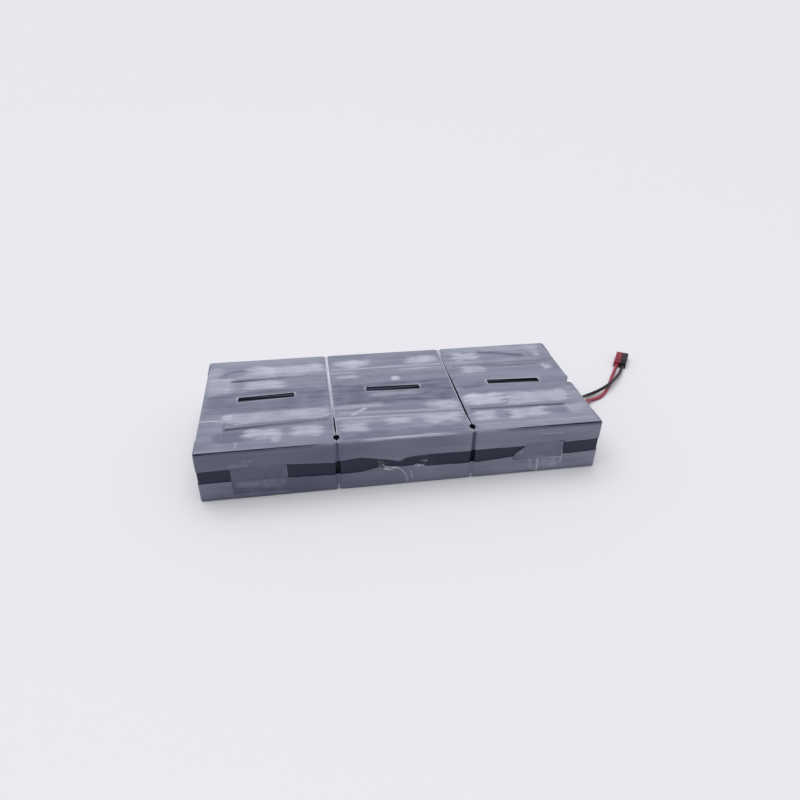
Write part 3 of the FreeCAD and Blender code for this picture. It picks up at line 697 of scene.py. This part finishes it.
# Row films: a strip on each column's outer face, turned into the seams and round the pack's ends
rowFilm = {
    "step": 1.25,
    "rows": 24,
    "thick": 0.2,
    "lift": 0.1,
    "wave": (0.1, 70, 9, 5.0),
    "overFloor": 0.02,
    "return": 28.0,  # how far a strip goes round the pack's end
    "bridgeAngle": 35,  # how steeply it leaves its face at a seam
    "bridgeStep": 0.6,
    "turnSteps": 6,
    "gap": 0.3,  # half the gap between two strips
    # how far over the start of the upper edge it gets its painted shade line and loses its darker face tone
    "shadeFrom": (-2.6, -0.4),
    "paleFrom": (-0.4, 1.2),
    "footFade": (3, 8),
    "toneWave": (0.1, 60, 20, 9.0),
    # half the painted shade line at each seam: full up to the first, gone at the second
    "seamShade": [(0.7, 1.5), (2.0, 3.6)],
    # shade along the upper and the lower edge
    "edgeShade": [(-231, 0.9), (-110, 0.8), (-86, 0.1), (100, 0.0), (125, 0.7), (231, 0.8)],
    "footShade": [(-231, 0.6), (-60, 0.6), (60, 0.35), (231, 0.2)],
    # how much darker each strip's face is along X: wetted film, and painted shade on the face
    "upperTone": [(-231, 0.6), (-80, 0.55), (0, 0.35), (120, 0.2), (231, 0.2)],
    "lowerTone": [(-231, 0.35), (-196, 0.4), (-193, 0.95), (-110, 0.8), (-50, 0.5), (50, 0.3), (110, 0.1),
                  (231, 0.0)],
    "edgeWave": {"low": (0.35, 18, 30, 1.0), "high": (0.35, 18, 30, 2.0)},
    # heights along X of each strip's lower and upper edge, measured over the rounded edges
    "front_upper": {
        "low": [(-231, 41.5), (-134, 42.6), (-80.6, 39.4), (-74, 40.8), (-52, 43), (-34, 40), (-22, 37.5),
                (-10, 34.5), (4, 39), (29, 40), (72, 39.2), (83, 40), (178, 40), (181, 43.5), (187, 43.5),
                (190, 40.4), (231, 42.3)],
        "high": [(-231, 63.9), (-150, 64.4), (-105, 65.2), (-86, 66.2), (-70, 66.8), (0, 67), (60, 66.8),
                 (84, 66.6), (113, 65.6), (150, 64.6), (231, 64.2)],
    },
    "front_lower": {
        "low": [(-231, 1.4), (231, 1.4)],
        "high": [(-231, 24.8), (-134, 24.3), (-80.6, 22), (-74, 21.7), (-52, 22.8), (-34, 26.7), (-24, 27.5),
                 (-10, 26), (4, 25.9), (29, 22.8), (72, 22.5), (83, 22.3), (126, 25), (188, 23.6),
                 (231, 24.8)],
    },
    "back_upper": {"low": [(-231, 41), (231, 41.5)], "high": [(-231, 64), (231, 64.5)]},
    "back_lower": {"low": [(-231, 1.4), (231, 1.4)], "high": [(-231, 24), (231, 23.5)]},
    "blotch": 0.75,
    "blotchWave": (0.35, 4, 6, 41.0),
    # streaks of air in the front strips: both ends in X and Z, width, amount
    "creased": [
        ((139, 21.4), (160, 21), 2.2, 0.3), ((160, 21), (186, 20.2), 2.6, 0.5),
        ((157.6, 20), (158.6, 2), 2.8, 0.5), ((148, 19), (149.4, 14), 4.0, 0.3),
        ((166, 12.5), (180, 10.5), 11.0, 0.22), ((178, 18), (179, 12), 3.4, 0.3),
        ((186.4, 28), (186.8, 11), 2.6, 0.4), ((150, 9), (155, 5), 6.0, 0.18),
        ((158, 55.2), (185, 54.6), 1.7, 0.32), ((-194, 45.5), (-178, 44.8), 7.0, 0.13),
        ((-187, 21.6), (-142, 18.6), 13.0, 0.66), ((-180, 51), (-172, 50), 3.0, 0.15)],
    # painted highlight along the middle column's upper edge: its ends in X and where it starts over the edge
    "glint": {"ends": (-56, 66), "fade": 20, "from": (64, 65), "pale": 0.5},
    # painted light on the lower strips at a seam: a thin pale line, and its flare near the floor,
    # with its half width at the foot and at the tip and its height
    "seamLight": {"line": (0.3, 0.9), "pale": 0.35, "flare": (2.6, 0.01, 8.0), "flareFade": (0.5, 1.0)},
}


def stripEnd(turned):
    # a strip's way past the end of its face: distance out, distance back and the angle it faces
    radius = pack["faceRound"]
    gap = (pack["pitch"] - pack["block"]) / 2
    bend = math.pi / 2 if turned else math.radians(rowFilm["bridgeAngle"])
    run = rowFilm["return"] - radius
    if not turned:
        run = (gap - rowFilm["gap"] + radius - radius * math.sin(bend)) / math.cos(bend)
    turns = np.linspace(0, bend, rowFilm["turnSteps"] + 1)[1:]
    way = [(radius * math.sin(t), radius * (1 - math.cos(t)), t) for t in turns]
    across, back, _ = way[-1]
    for step in gridLines([0, run], rowFilm["step" if turned else "bridgeStep"])[1:]:
        way.append((across + step * math.cos(bend), back + step * math.sin(bend), bend))
    return np.array(way)


def stripPath(column):
    # places and outward directions along a strip, from its left end to its right end
    centre, flat = columnPlace[column], pack["block"] / 2 - pack["faceRound"]
    across = gridLines([-flat, flat], rowFilm["step"])
    face = np.stack([across, 0 * across, 0 * across], -1)
    left, right = (stripEnd(side == column) for side in ("left", "right"))
    left = left[::-1] * (-1, 1, -1) - (flat, 0, 0)
    way = np.concatenate([left, face, right + (flat, 0, 0)])
    places = np.stack([centre + way[:, 0], way[:, 1] - pack["face"]], -1)
    return places, np.stack([np.sin(way[:, 2]), -np.cos(way[:, 2])], -1)


def rowSheet(row, name, column):
    own = rowFilm[f"{row}_{name}"]
    side = 1 if row == "back" else -1
    radius = pack["faceRound"]
    places, outward = stripPath(column)
    across, back = places.T
    edges = [alongRule(own[key], across) + ripple(across, back, *rowFilm["edgeWave"][key], side)
             for key in ("low", "high")]
    share = np.linspace(0, 1, rowFilm["rows"])[None, :]
    reach = edges[0][:, None] * (1 - share) + edges[1][:, None] * share
    x, y, outX, outY = (np.repeat(item[:, None], reach.shape[1], axis=1) for item in (*places.T, *outward.T))
    middle = (pack["top"] + pack["base"]) / 2
    lift = pack["film"] + rowFilm["lift"] + ripple(x + y, reach, *rowFilm["wave"], side)
    rise, drop = overEdge(np.abs(reach - middle), pack["top"] - radius - middle, radius, lift)
    z = middle + np.sign(reach - middle) * rise
    out = lift - drop
    points = np.stack([x + outX * out, y + outY * out, np.maximum(z, rowFilm["overFloor"])], -1)
    brow = pack["top"] - radius
    # painted shade: the first is the dark line under the upper edge; the second is where the face's darker
    # tone ends over the top
    fold, overTop = (smooth(brow + rowFilm[key][0], brow + rowFilm[key][1], reach)
                     for key in ("shadeFrom", "paleFrom"))
    away = np.min([np.abs(x - seam) for seam in seamPlace], axis=0)
    # painted shade along the seams
    seamShadeShare = np.max([1 - smooth(near, far, np.abs(x - seam))
                     for seam, (near, far) in zip(seamPlace, rowFilm["seamShade"])], axis=0)
    onFace = np.abs(outX) < 0.5  # not where it turns into a seam or round an end
    fold = fold * alongRule(rowFilm["edgeShade"], x) * onFace
    tone = alongRule(rowFilm[name + "Tone"], x) + ripple(x, reach, *rowFilm["toneWave"])
    tone = np.maximum(tone, seamShadeShare if name == "upper" else 0)
    foot = alongRule(rowFilm["footShade"], x) * (1 - smooth(*rowFilm["footFade"], reach))
    # the darker mark holds the face tone and painted shade at the seams, under the upper edge and along the
    # foot
    wetAndShade = np.clip(np.maximum.reduce([tone * (1 - overTop), fold, foot]), 0, 1)
    glint, seamLight = rowFilm["glint"], rowFilm["seamLight"]
    (left, right), fade = glint["ends"], glint["fade"]
    # painted highlight along the middle column's upper edge
    lit = smooth(left, left + fade, x) * (1 - smooth(right - fade, right, x)) * smooth(*glint["from"], reach)
    airAndHighlight = lit * (row == "front") * glint["pale"]
    # painted light at the seams on the lower strips: a pale line and a pale flare near the floor
    if name == "lower":
        wide, least, tall = seamLight["flare"]
        spread = away / np.maximum(wide * (1 - reach / tall), least)
        flare = (1 - smooth(*seamLight["flareFade"], spread)) * (reach < tall)
        line = seamLight["pale"] * (1 - smooth(*seamLight["line"], away))
        airAndHighlight = np.maximum.reduce([airAndHighlight, line, flare])
    if row == "front":
        blotch = rowFilm["blotch"] + ripple(x, reach, *rowFilm["blotchWave"])
        airAndHighlight = np.maximum(airAndHighlight, blotch * streakShare(x, reach, rowFilm["creased"], 1))
    if row == "back":
        points = points[::-1] * (1, -1, 1)
        wetAndShade, airAndHighlight = wetAndShade[::-1], airAndHighlight[::-1]
    return points, None, {"wetAndShade": wetAndShade, "airAndHighlight": airAndHighlight}


def makeRowFilm(row, name):
    sheets = [rowSheet(row, name, column) for column in columnPlace]
    piece = sheetPiece(row + name.capitalize() + "Film", sheets, rowFilm["thick"], finishes["wrap_film"])
    standFor(piece, f"{row}_{name}_film")


for row in ("front", "back"):
    for name in ("upper", "lower"):
        makeRowFilm(row, name)
print("row films laid")


# Lengthwise tapes on top, with air left under them
topTape = {
    "step": 1.4,
    "thick": 0.08,
    "lift": 0.12,
    "sag": (1.6, 2.6),  # how far a tape sinks into a seam, and half how wide
    "puff": (0.15, 0.5),  # how far air lifts it, evenly and in creases
    "creaseWave": (1.0, 30, 5, 12.5),
    "edgeWave": (0.5, 40, 40, 7.7),
    "edgeAir": (0.12, 1.2),  # haze along its edges: amount and width
    "left": -205.0,
    "front": {"near": -81.0, "far": -28.0, "right": [(-81, 207), (-56, 204), (-28, 214.7)],
              "joint": [(-231, -61.8), (-80, -52.2), (-75, -54), (75, -60), (80, -54.5), (231, -59.9)]},
    "back": {"near": 24.0, "far": 78.0, "right": [(24, 212), (78, 213)],
             "joint": [(-231, 44.5), (-80, 52.1), (-75, 50), (75, 50), (80, 49.3), (231, 40.7)]},
    "jointHalf": 2.4,
    "jointAir": [(-202, 0.06), (-170, 0.12), (-84, 0.26), (70, 0.2), (84, 0.15), (202, 0.08)],
}


def makeTopTape(row):
    own = topTape[row]
    along = gridLines([own["near"], own["far"]], topTape["step"])
    across = np.linspace(0, 1, math.ceil((own["right"][0][1] - topTape["left"]) / topTape["step"]))
    share, y = np.meshgrid(across, along)
    right = alongRule(own["right"], y)
    x = topTape["left"] + share * (right - topTape["left"])
    overJoint = np.exp(-((y - alongRule(own["joint"], x)) / topTape["jointHalf"]) ** 2)
    air = np.maximum(looseShare(x, y), alongRule(topTape["jointAir"], x) * overJoint)
    haze = edgeHaze(topTape["edgeAir"], x - topTape["left"], right - x, y - own["near"], own["far"] - y)
    air = np.clip(air + haze, 0, 1)
    sag, sagHalf = topTape["sag"]
    dip = sum(np.exp(-((x - seam) / sagHalf) ** 2) for seam in seamPlace)
    air = air * (1 - np.clip(dip, 0, 1))
    evenly, creased = topTape["puff"]
    crease = np.abs(ripple(x, y, *topTape["creaseWave"], own["near"]))
    lift = filmLift(x, y) + topTape["lift"] + air * (evenly + creased * crease) - sag * dip
    edge = ripple(x, x, *topTape["edgeWave"], own["near"])
    sheet = np.stack([x, y + edge, pack["top"] + lift], -1), None, {"air": air}
    piece = sheetPiece(row + "TopTape", [sheet], topTape["thick"], finishes["clear_tape"])
    return standFor(piece, row + "_top_tape")


topTapes = {row: makeTopTape(row) for row in ("front", "back")}
print("top tapes laid")


# Short tapes on the front: a grey one, a clear and crumpled one, and a grey one set askew
frontTape = {
    "step": 0.8,
    "thick": 0.08,
    "lift": 0.5,
    "foldHeight": 0.9,
    "crumpleFade": (0.45, 1.1),  # in half sizes of the crumple
    "ridge": (2.2, 21.0),  # how narrow a crumple's folds are, and their seed
    "patchy": (0.8, 0.5, 51.0),  # how strong they are, how much that varies, and its seed
    "hazeWave": (0.12, 16, 12, 61.0),
    "edgeAir": (0.06, 1.0),
    # haze by height; crumples by middle and half size in X and Z, amount,
    # and the spacing of their folds in X and Z
    "left": {
        "left": [(2, -195), (44, -195)], "right": [(2, -134), (44, -134)], "top": 43.6,
        "haze": [(2, 0.84), (6, 0.8), (8.5, 0.4), (17, 0.35), (22, 0.35), (26, 0.62), (44, 0.67)],
        "crumples": [(-165, 20, 36, 5.5, 0.34, 14, 3.5), (-160, 11.5, 30, 5, 0.25, 5, 14),
                     (-172, 7, 9, 1.2, 0.25, 20, 3), (-150, 43, 17, 1.2, 0.3, 40, 9),
                     (-134.6, 31, 1, 13, 0.3, 20, 30)],
    },
    "middle": {
        "left": [(2, -31), (44, -33)], "right": [(2, 29), (44, 30)], "top": 40.0,
        "haze": [(2, 0.0), (40, 0.0)],
        "crumples": [(-17, 24.2, 12, 3.2, 1.0, 5, 2.4), (-28.5, 31, 4, 6, 0.25, 4, 5),
                     (15, 25.4, 8, 2.6, 0.6, 7, 3), (20, 32, 5, 3, 0.22, 4.5, 4),
                     (-9, 35, 7, 2.4, 0.4, 6, 3)],
    },
    "right": {
        "left": [(2, 132), (24, 126), (31, 130), (36, 137), (40, 141), (44, 142)],
        "right": [(2, 187), (44, 187)], "top": 43.0,
        "haze": [(2, 0.0), (20, 0.0), (23, 0.9), (26, 0.92), (44, 0.92)],
        "crumples": [(161, 22.4, 30, 1.6, 0.35, 26, 3.5), (135, 33, 4, 6, 0.4, 5, 7)],
    },
}


def makeFrontTape(column):
    own = frontTape[column]
    low = cornersOf(column + "_front_tape")[0][2]
    upward = gridLines([low, own["top"]], frontTape["step"])
    wide = own["right"][0][1] - own["left"][0][1]
    share, z = np.meshgrid(np.linspace(0, 1, math.ceil(wide / frontTape["step"])), upward)
    left, right = alongRule(own["left"], z), alongRule(own["right"], z)
    x = left + share * (right - left)
    fold = np.zeros_like(x)
    narrow, ridgeSeed = frontTape["ridge"]
    strong, swing, patchSeed = frontTape["patchy"]
    for i, (middleX, middleZ, halfX, halfZ, amount, longX, longZ) in enumerate(own["crumples"]):
        away = np.hypot((x - middleX) / halfX, (z - middleZ) / halfZ)
        inside = 1 - smooth(*frontTape["crumpleFade"], away)
        ridge = np.clip(1 - np.abs(ripple(x, z, narrow, longX, longZ, ridgeSeed, i)), 0, 1)
        patchy = strong + ripple(x, z, swing, 2 * longX, 2 * longZ, patchSeed, i)
        fold = np.maximum(fold, amount * inside * np.clip(ridge * patchy, 0, 1))
    lift = pack["film"] + frontTape["lift"] + frontTape["foldHeight"] * fold
    air = alongRule(own["haze"], z) * (1 + ripple(x, z, *frontTape["hazeWave"]))
    air = air + edgeHaze(frontTape["edgeAir"], x - left, right - x, z - low, own["top"] - z)
    marks = {"air": np.clip(air, 0, 1), "fold": np.clip(fold, 0, 1)}
    finish = finishes["clear_tape"] if column == "middle" else agedTape
    sheet = np.stack([x, -pack["face"] - lift, z], -1), None, marks
    piece = sheetPiece(column + "FrontTape", [sheet], frontTape["thick"], finish)
    standFor(piece, column + "_front_tape")


for column in columnPlace:
    makeFrontTape(column)
print("front tapes laid")


# Geometry Nodes trees
def startTree(name, inputs):
    tree = bpy.data.node_groups.new(name, "GeometryNodeTree")
    keys = {}
    for label, kind in {"Geometry": "Geometry", **inputs}.items():
        socket = tree.interface.new_socket(label, in_out="INPUT", socket_type="NodeSocket" + kind)
        keys[label] = socket.identifier
    tree.interface.new_socket("Geometry", in_out="OUTPUT", socket_type="NodeSocketGeometry")
    return tree, addNode(tree, "NodeGroupInput").outputs, keys


def endTree(tree, last, finish):
    whole = addNode(tree, "GeometryNodeRealizeInstances", {}, {"Geometry": last})
    dressed = addNode(tree, "GeometryNodeSetMaterial", {}, {"Geometry": whole, "Material": finish})
    addNode(tree, "NodeGroupOutput", {}, {0: dressed})


def grow(piece, tree, keys, values, material):
    # runs a tree on a piece and keeps the result as its plain mesh
    growth = piece.modifiers.new(tree.name, "NODES")
    growth.node_group = tree
    for label, value in values.items():
        growth[keys[label]] = value
    return settle(piece, material)


# Creases: ridges along the folds of the front tapes, white as a painted highlight
creases = {
    "thick": 0.36,
    "thin": 0.35,  # how thick a tip is beside the middle of its fold
    "step": 0.7,
    "sides": 6,
    # X and Z of each fold, and how thick it is beside the others
    "folds": [
        ([(157.4, 19), (158.4, 14), (157.6, 8), (158.8, 1.6)], 0.5),
        ([(186.8, 30), (187.2, 22), (186.6, 13)], 0.4),
        ([(-28, 31), (-25, 28.6), (-19, 26.5), (-12, 24.2), (-6, 22.5)], 0.8),
        ([(5, 18), (6.6, 12), (7.4, 7)], 0.35),
        ([(-7, 22), (-3, 18), (0, 12), (1.6, 3.4)], 1.0)],
}


def creaseTree():
    tree, given, keys = startTree("creases", {"Thickness": "Float", "Finish": "Material"})
    line = addNode(tree, "GeometryNodeMeshToCurve", {}, {"Mesh": given["Geometry"]})
    soft = addNode(tree, "GeometryNodeCurveSplineType", {"spline_type": "CATMULL_ROM"}, {"Curve": line})
    spacing = {"mode": "LENGTH", "Length": creases["step"] * mm}
    even = addNode(tree, "GeometryNodeResampleCurve", spacing, {"Curve": soft})
    weight = addNode(tree, "GeometryNodeInputNamedAttribute", {"data_type": "FLOAT", "Name": "weight"})
    swell = addNode(tree, "GeometryNodeSetCurveRadius", {}, {"Curve": even, "Radius": weight})
    ring = addNode(tree, "GeometryNodeCurvePrimitiveCircle", {"Resolution": creases["sides"]},
                   {"Radius": given["Thickness"]})
    tube = addNode(tree, "GeometryNodeCurveToMesh", {"Fill Caps": True},
                   {"Curve": swell, "Profile Curve": ring})
    endTree(tree, tube, given["Finish"])
    return tree, keys


def makeCreases():
    spots, edges, weights = [], [], []
    thin = creases["thin"]
    out = -(pack["face"] + pack["film"] + frontTape["lift"])
    for fold, weight in creases["folds"]:
        start = len(spots)
        spots += [(x * mm, out * mm, z * mm) for x, z in fold]
        edges += [(start + i, start + i + 1) for i in range(len(fold) - 1)]
        shares = [(i + 0.5) / len(fold) for i in range(len(fold))]
        weights += [weight * (thin + (1 - thin) * math.sin(math.pi * share)) for share in shares]
    mesh = bpy.data.meshes.new("frontCreases")
    mesh.from_pydata(spots, edges, [])
    mesh.attributes.new("weight", "FLOAT", "POINT").data.foreach_set("value", weights)
    piece = addObject("frontCreases", mesh)
    tree, keys = creaseTree()
    grow(piece, tree, keys, {"Thickness": creases["thick"] * mm, "Finish": foldHighlightTape}, foldHighlightTape)
    addTrim(piece)
    print("creases", len(creases["folds"]))


makeCreases()


# Blisters: small bubbles of air under the lengthwise tapes
blisters = {
    "each": 45.0,  # square millimetres for each one
    "radius": (0.4, 1.0),
    "long": 2.6,
    "flat": 0.3,
    "upright": 0.7,  # only faces that look up at least this much have them
    "seed": 4,
}


def blisterTree():
    inputs = {"Density": "Float", "Small": "Float", "Large": "Float", "Shape": "Vector", "Seed": "Int",
              "Finish": "Material"}
    tree, given, keys = startTree("blisters", inputs)
    air = addNode(tree, "GeometryNodeInputNamedAttribute", {"data_type": "FLOAT", "Name": "air"})
    crowd = addNode(tree, "ShaderNodeMath", {"operation": "MULTIPLY"}, {0: air, 1: given["Density"]})
    normal = addNode(tree, "GeometryNodeInputNormal")
    facing = addNode(tree, "ShaderNodeSeparateXYZ", {}, {0: normal})
    upper = addNode(tree, "FunctionNodeCompare", {"operation": "GREATER_THAN", 1: blisters["upright"]},
                    {0: facing.outputs[2]})
    spots = addNode(tree, "GeometryNodeDistributePointsOnFaces", {},
                    {"Mesh": given["Geometry"], "Selection": upper, "Density": crowd,
                     "Seed": given["Seed"]})
    bubble = addNode(tree, "GeometryNodeMeshUVSphere", {"Segments": 8, "Rings": 4, "Radius": 1.0})
    size = addNode(tree, "FunctionNodeRandomValue", {"data_type": "FLOAT"},
                   {2: given["Small"], 3: given["Large"], "Seed": given["Seed"]})
    form = addNode(tree, "ShaderNodeVectorMath", {"operation": "SCALE"},
                   {0: given["Shape"], "Scale": size.outputs[1]})
    many = addNode(tree, "GeometryNodeInstanceOnPoints", {},
                   {"Points": spots, "Instance": bubble, "Scale": form})
    endTree(tree, many, given["Finish"])
    return tree, keys


def makeBlisters(tree, keys):
    small, large = blisters["radius"]
    values = {"Density": 1 / (blisters["each"] * mm * mm), "Small": small * mm, "Large": large * mm,
              "Shape": (blisters["long"], 1.0, blisters["flat"]), "Seed": blisters["seed"],
              "Finish": finishes["clear_tape"]}
    for row, tape in topTapes.items():
        piece = addObject(row + "TapeBlisters", tape.data.copy())
        grow(piece, tree, keys, values, finishes["clear_tape"])
        addTrim(piece)
        print("blisters", row, len(piece.data.polygons))


makeBlisters(*blisterTree())


# Grip ribs on the connector's two housings
ribs = {"count": 4, "pitch": 2.2, "radius": 0.55, "wide": 6.4, "start": 5.0}


def ribTree():
    inputs = {"Count": "Int", "Pitch": "Vector", "Radius": "Float", "Length": "Float", "Turn": "Rotation",
              "Finish": "Material"}
    tree, given, keys = startTree("gripRibs", inputs)
    row = addNode(tree, "GeometryNodeMeshLine", {}, {"Count": given["Count"], "Offset": given["Pitch"]})
    bar = addNode(tree, "GeometryNodeMeshCylinder", {"Vertices": 10, "Fill Segments": 1},
                  {"Radius": given["Radius"], "Depth": given["Length"]})
    many = addNode(tree, "GeometryNodeInstanceOnPoints", {},
                   {"Points": row, "Instance": bar, "Rotation": given["Turn"]})
    endTree(tree, many, given["Finish"])
    return tree, keys


def makeRibs():
    tree, keys = ribTree()
    sides = {colour: [Vector(spot) for spot in leads[colour]["route"][-2:]] for colour in ("red", "black")}
    ahead = (sides["red"][1] - sides["red"][0]).normalized()
    aside = Vector((ahead.y, -ahead.x, 0))
    turn = aside.to_track_quat("Z", "Y").to_euler()
    top = cornersOf("red_connector_housing")[1][2]
    for colour, (_, rear) in sides.items():
        node = colour + "_connector_housing"
        spot = Vector((rear.x, rear.y, top)) + ahead * ribs["start"]
        piece = addObject(colour + "GripRibs", bpy.data.meshes.new(colour + "GripRibs"))
        values = {"Count": ribs["count"], "Pitch": ahead * ribs["pitch"] * mm, "Radius": ribs["radius"] * mm,
                  "Length": ribs["wide"] * mm, "Turn": turn, "Finish": finishes[slotOf[node]]}
        grow(piece, tree, keys, values, finishes[slotOf[node]])
        piece.data.transform(Matrix.Translation(spot * mm))
        addTrim(piece)
        print("ribs on the", colour, "housing")


makeRibs()


# Floor and light
studio = {
    # metres: where the floor starts to rise, its rim and the rim's height, to hide the horizon
    "floor": (3.0, 60.0, 3.5),
    "sides": 64,
    "floorColour": "e5e4e8",
    "sun": 1.9,
    "sunAngle": 70,
    "sunFrom": (-0.15, 0.08, 1.0),
    "room": (0.3, 0.62),  # brightness of the room in front of the pack and behind it
    "roomFade": (-1.0, 0.6),  # between these directions along Y
    "roomColour": "f4f5fa",
}


def makeStudio():
    mesh = bpy.data.meshes.new("floor")
    flat, rim, rise = studio["floor"]
    sides = studio["sides"]
    turns = [2 * math.pi * i / sides for i in range(sides)]
    spots = [(reach * math.cos(t), reach * math.sin(t), z)
             for reach, z in ((flat, 0), (rim, rise)) for t in turns]
    ring = [(i, sides + i, sides + (i + 1) % sides, (i + 1) % sides) for i in range(sides)]
    mesh.from_pydata(spots, [], [tuple(range(sides))] + ring)
    floor = addObject("floor", mesh)
    board = {"Roughness": 0.7, "Base Color": hexColour(studio["floorColour"])}
    mesh.materials.append(startMaterial("paintedBoard", board)[0])
    lamp = bpy.data.lights.new("softKey", "SUN")
    lamp.energy = studio["sun"]
    lamp.angle = math.radians(studio["sunAngle"])
    key = addObject("softKey", lamp)
    key.rotation_mode = "QUATERNION"
    key.rotation_quaternion = Vector(studio["sunFrom"]).to_track_quat("Z", "Y")
    world = bpy.data.worlds.new("studio")
    bpy.context.scene.world = world
    world.use_nodes = True
    tree = world.node_tree
    tree.nodes.clear()
    way = addNode(tree, "ShaderNodeTexCoord").outputs["Generated"]
    parts = addNode(tree, "ShaderNodeSeparateXYZ", {}, {0: way})
    (start, end), (dark, bright) = studio["roomFade"], studio["room"]
    span = {"From Min": start, "From Max": end, "To Min": dark, "To Max": bright}
    level = addNode(tree, "ShaderNodeMapRange", span, {"Value": parts.outputs[1]})
    sky = addNode(tree, "ShaderNodeBackground", {"Color": hexColour(studio["roomColour"])},
                  {"Strength": level})
    addNode(tree, "ShaderNodeOutputWorld", {}, {"Surface": sky})
    bpy.context.scene.view_settings.view_transform = "Standard"


makeStudio()
print("studio lit")
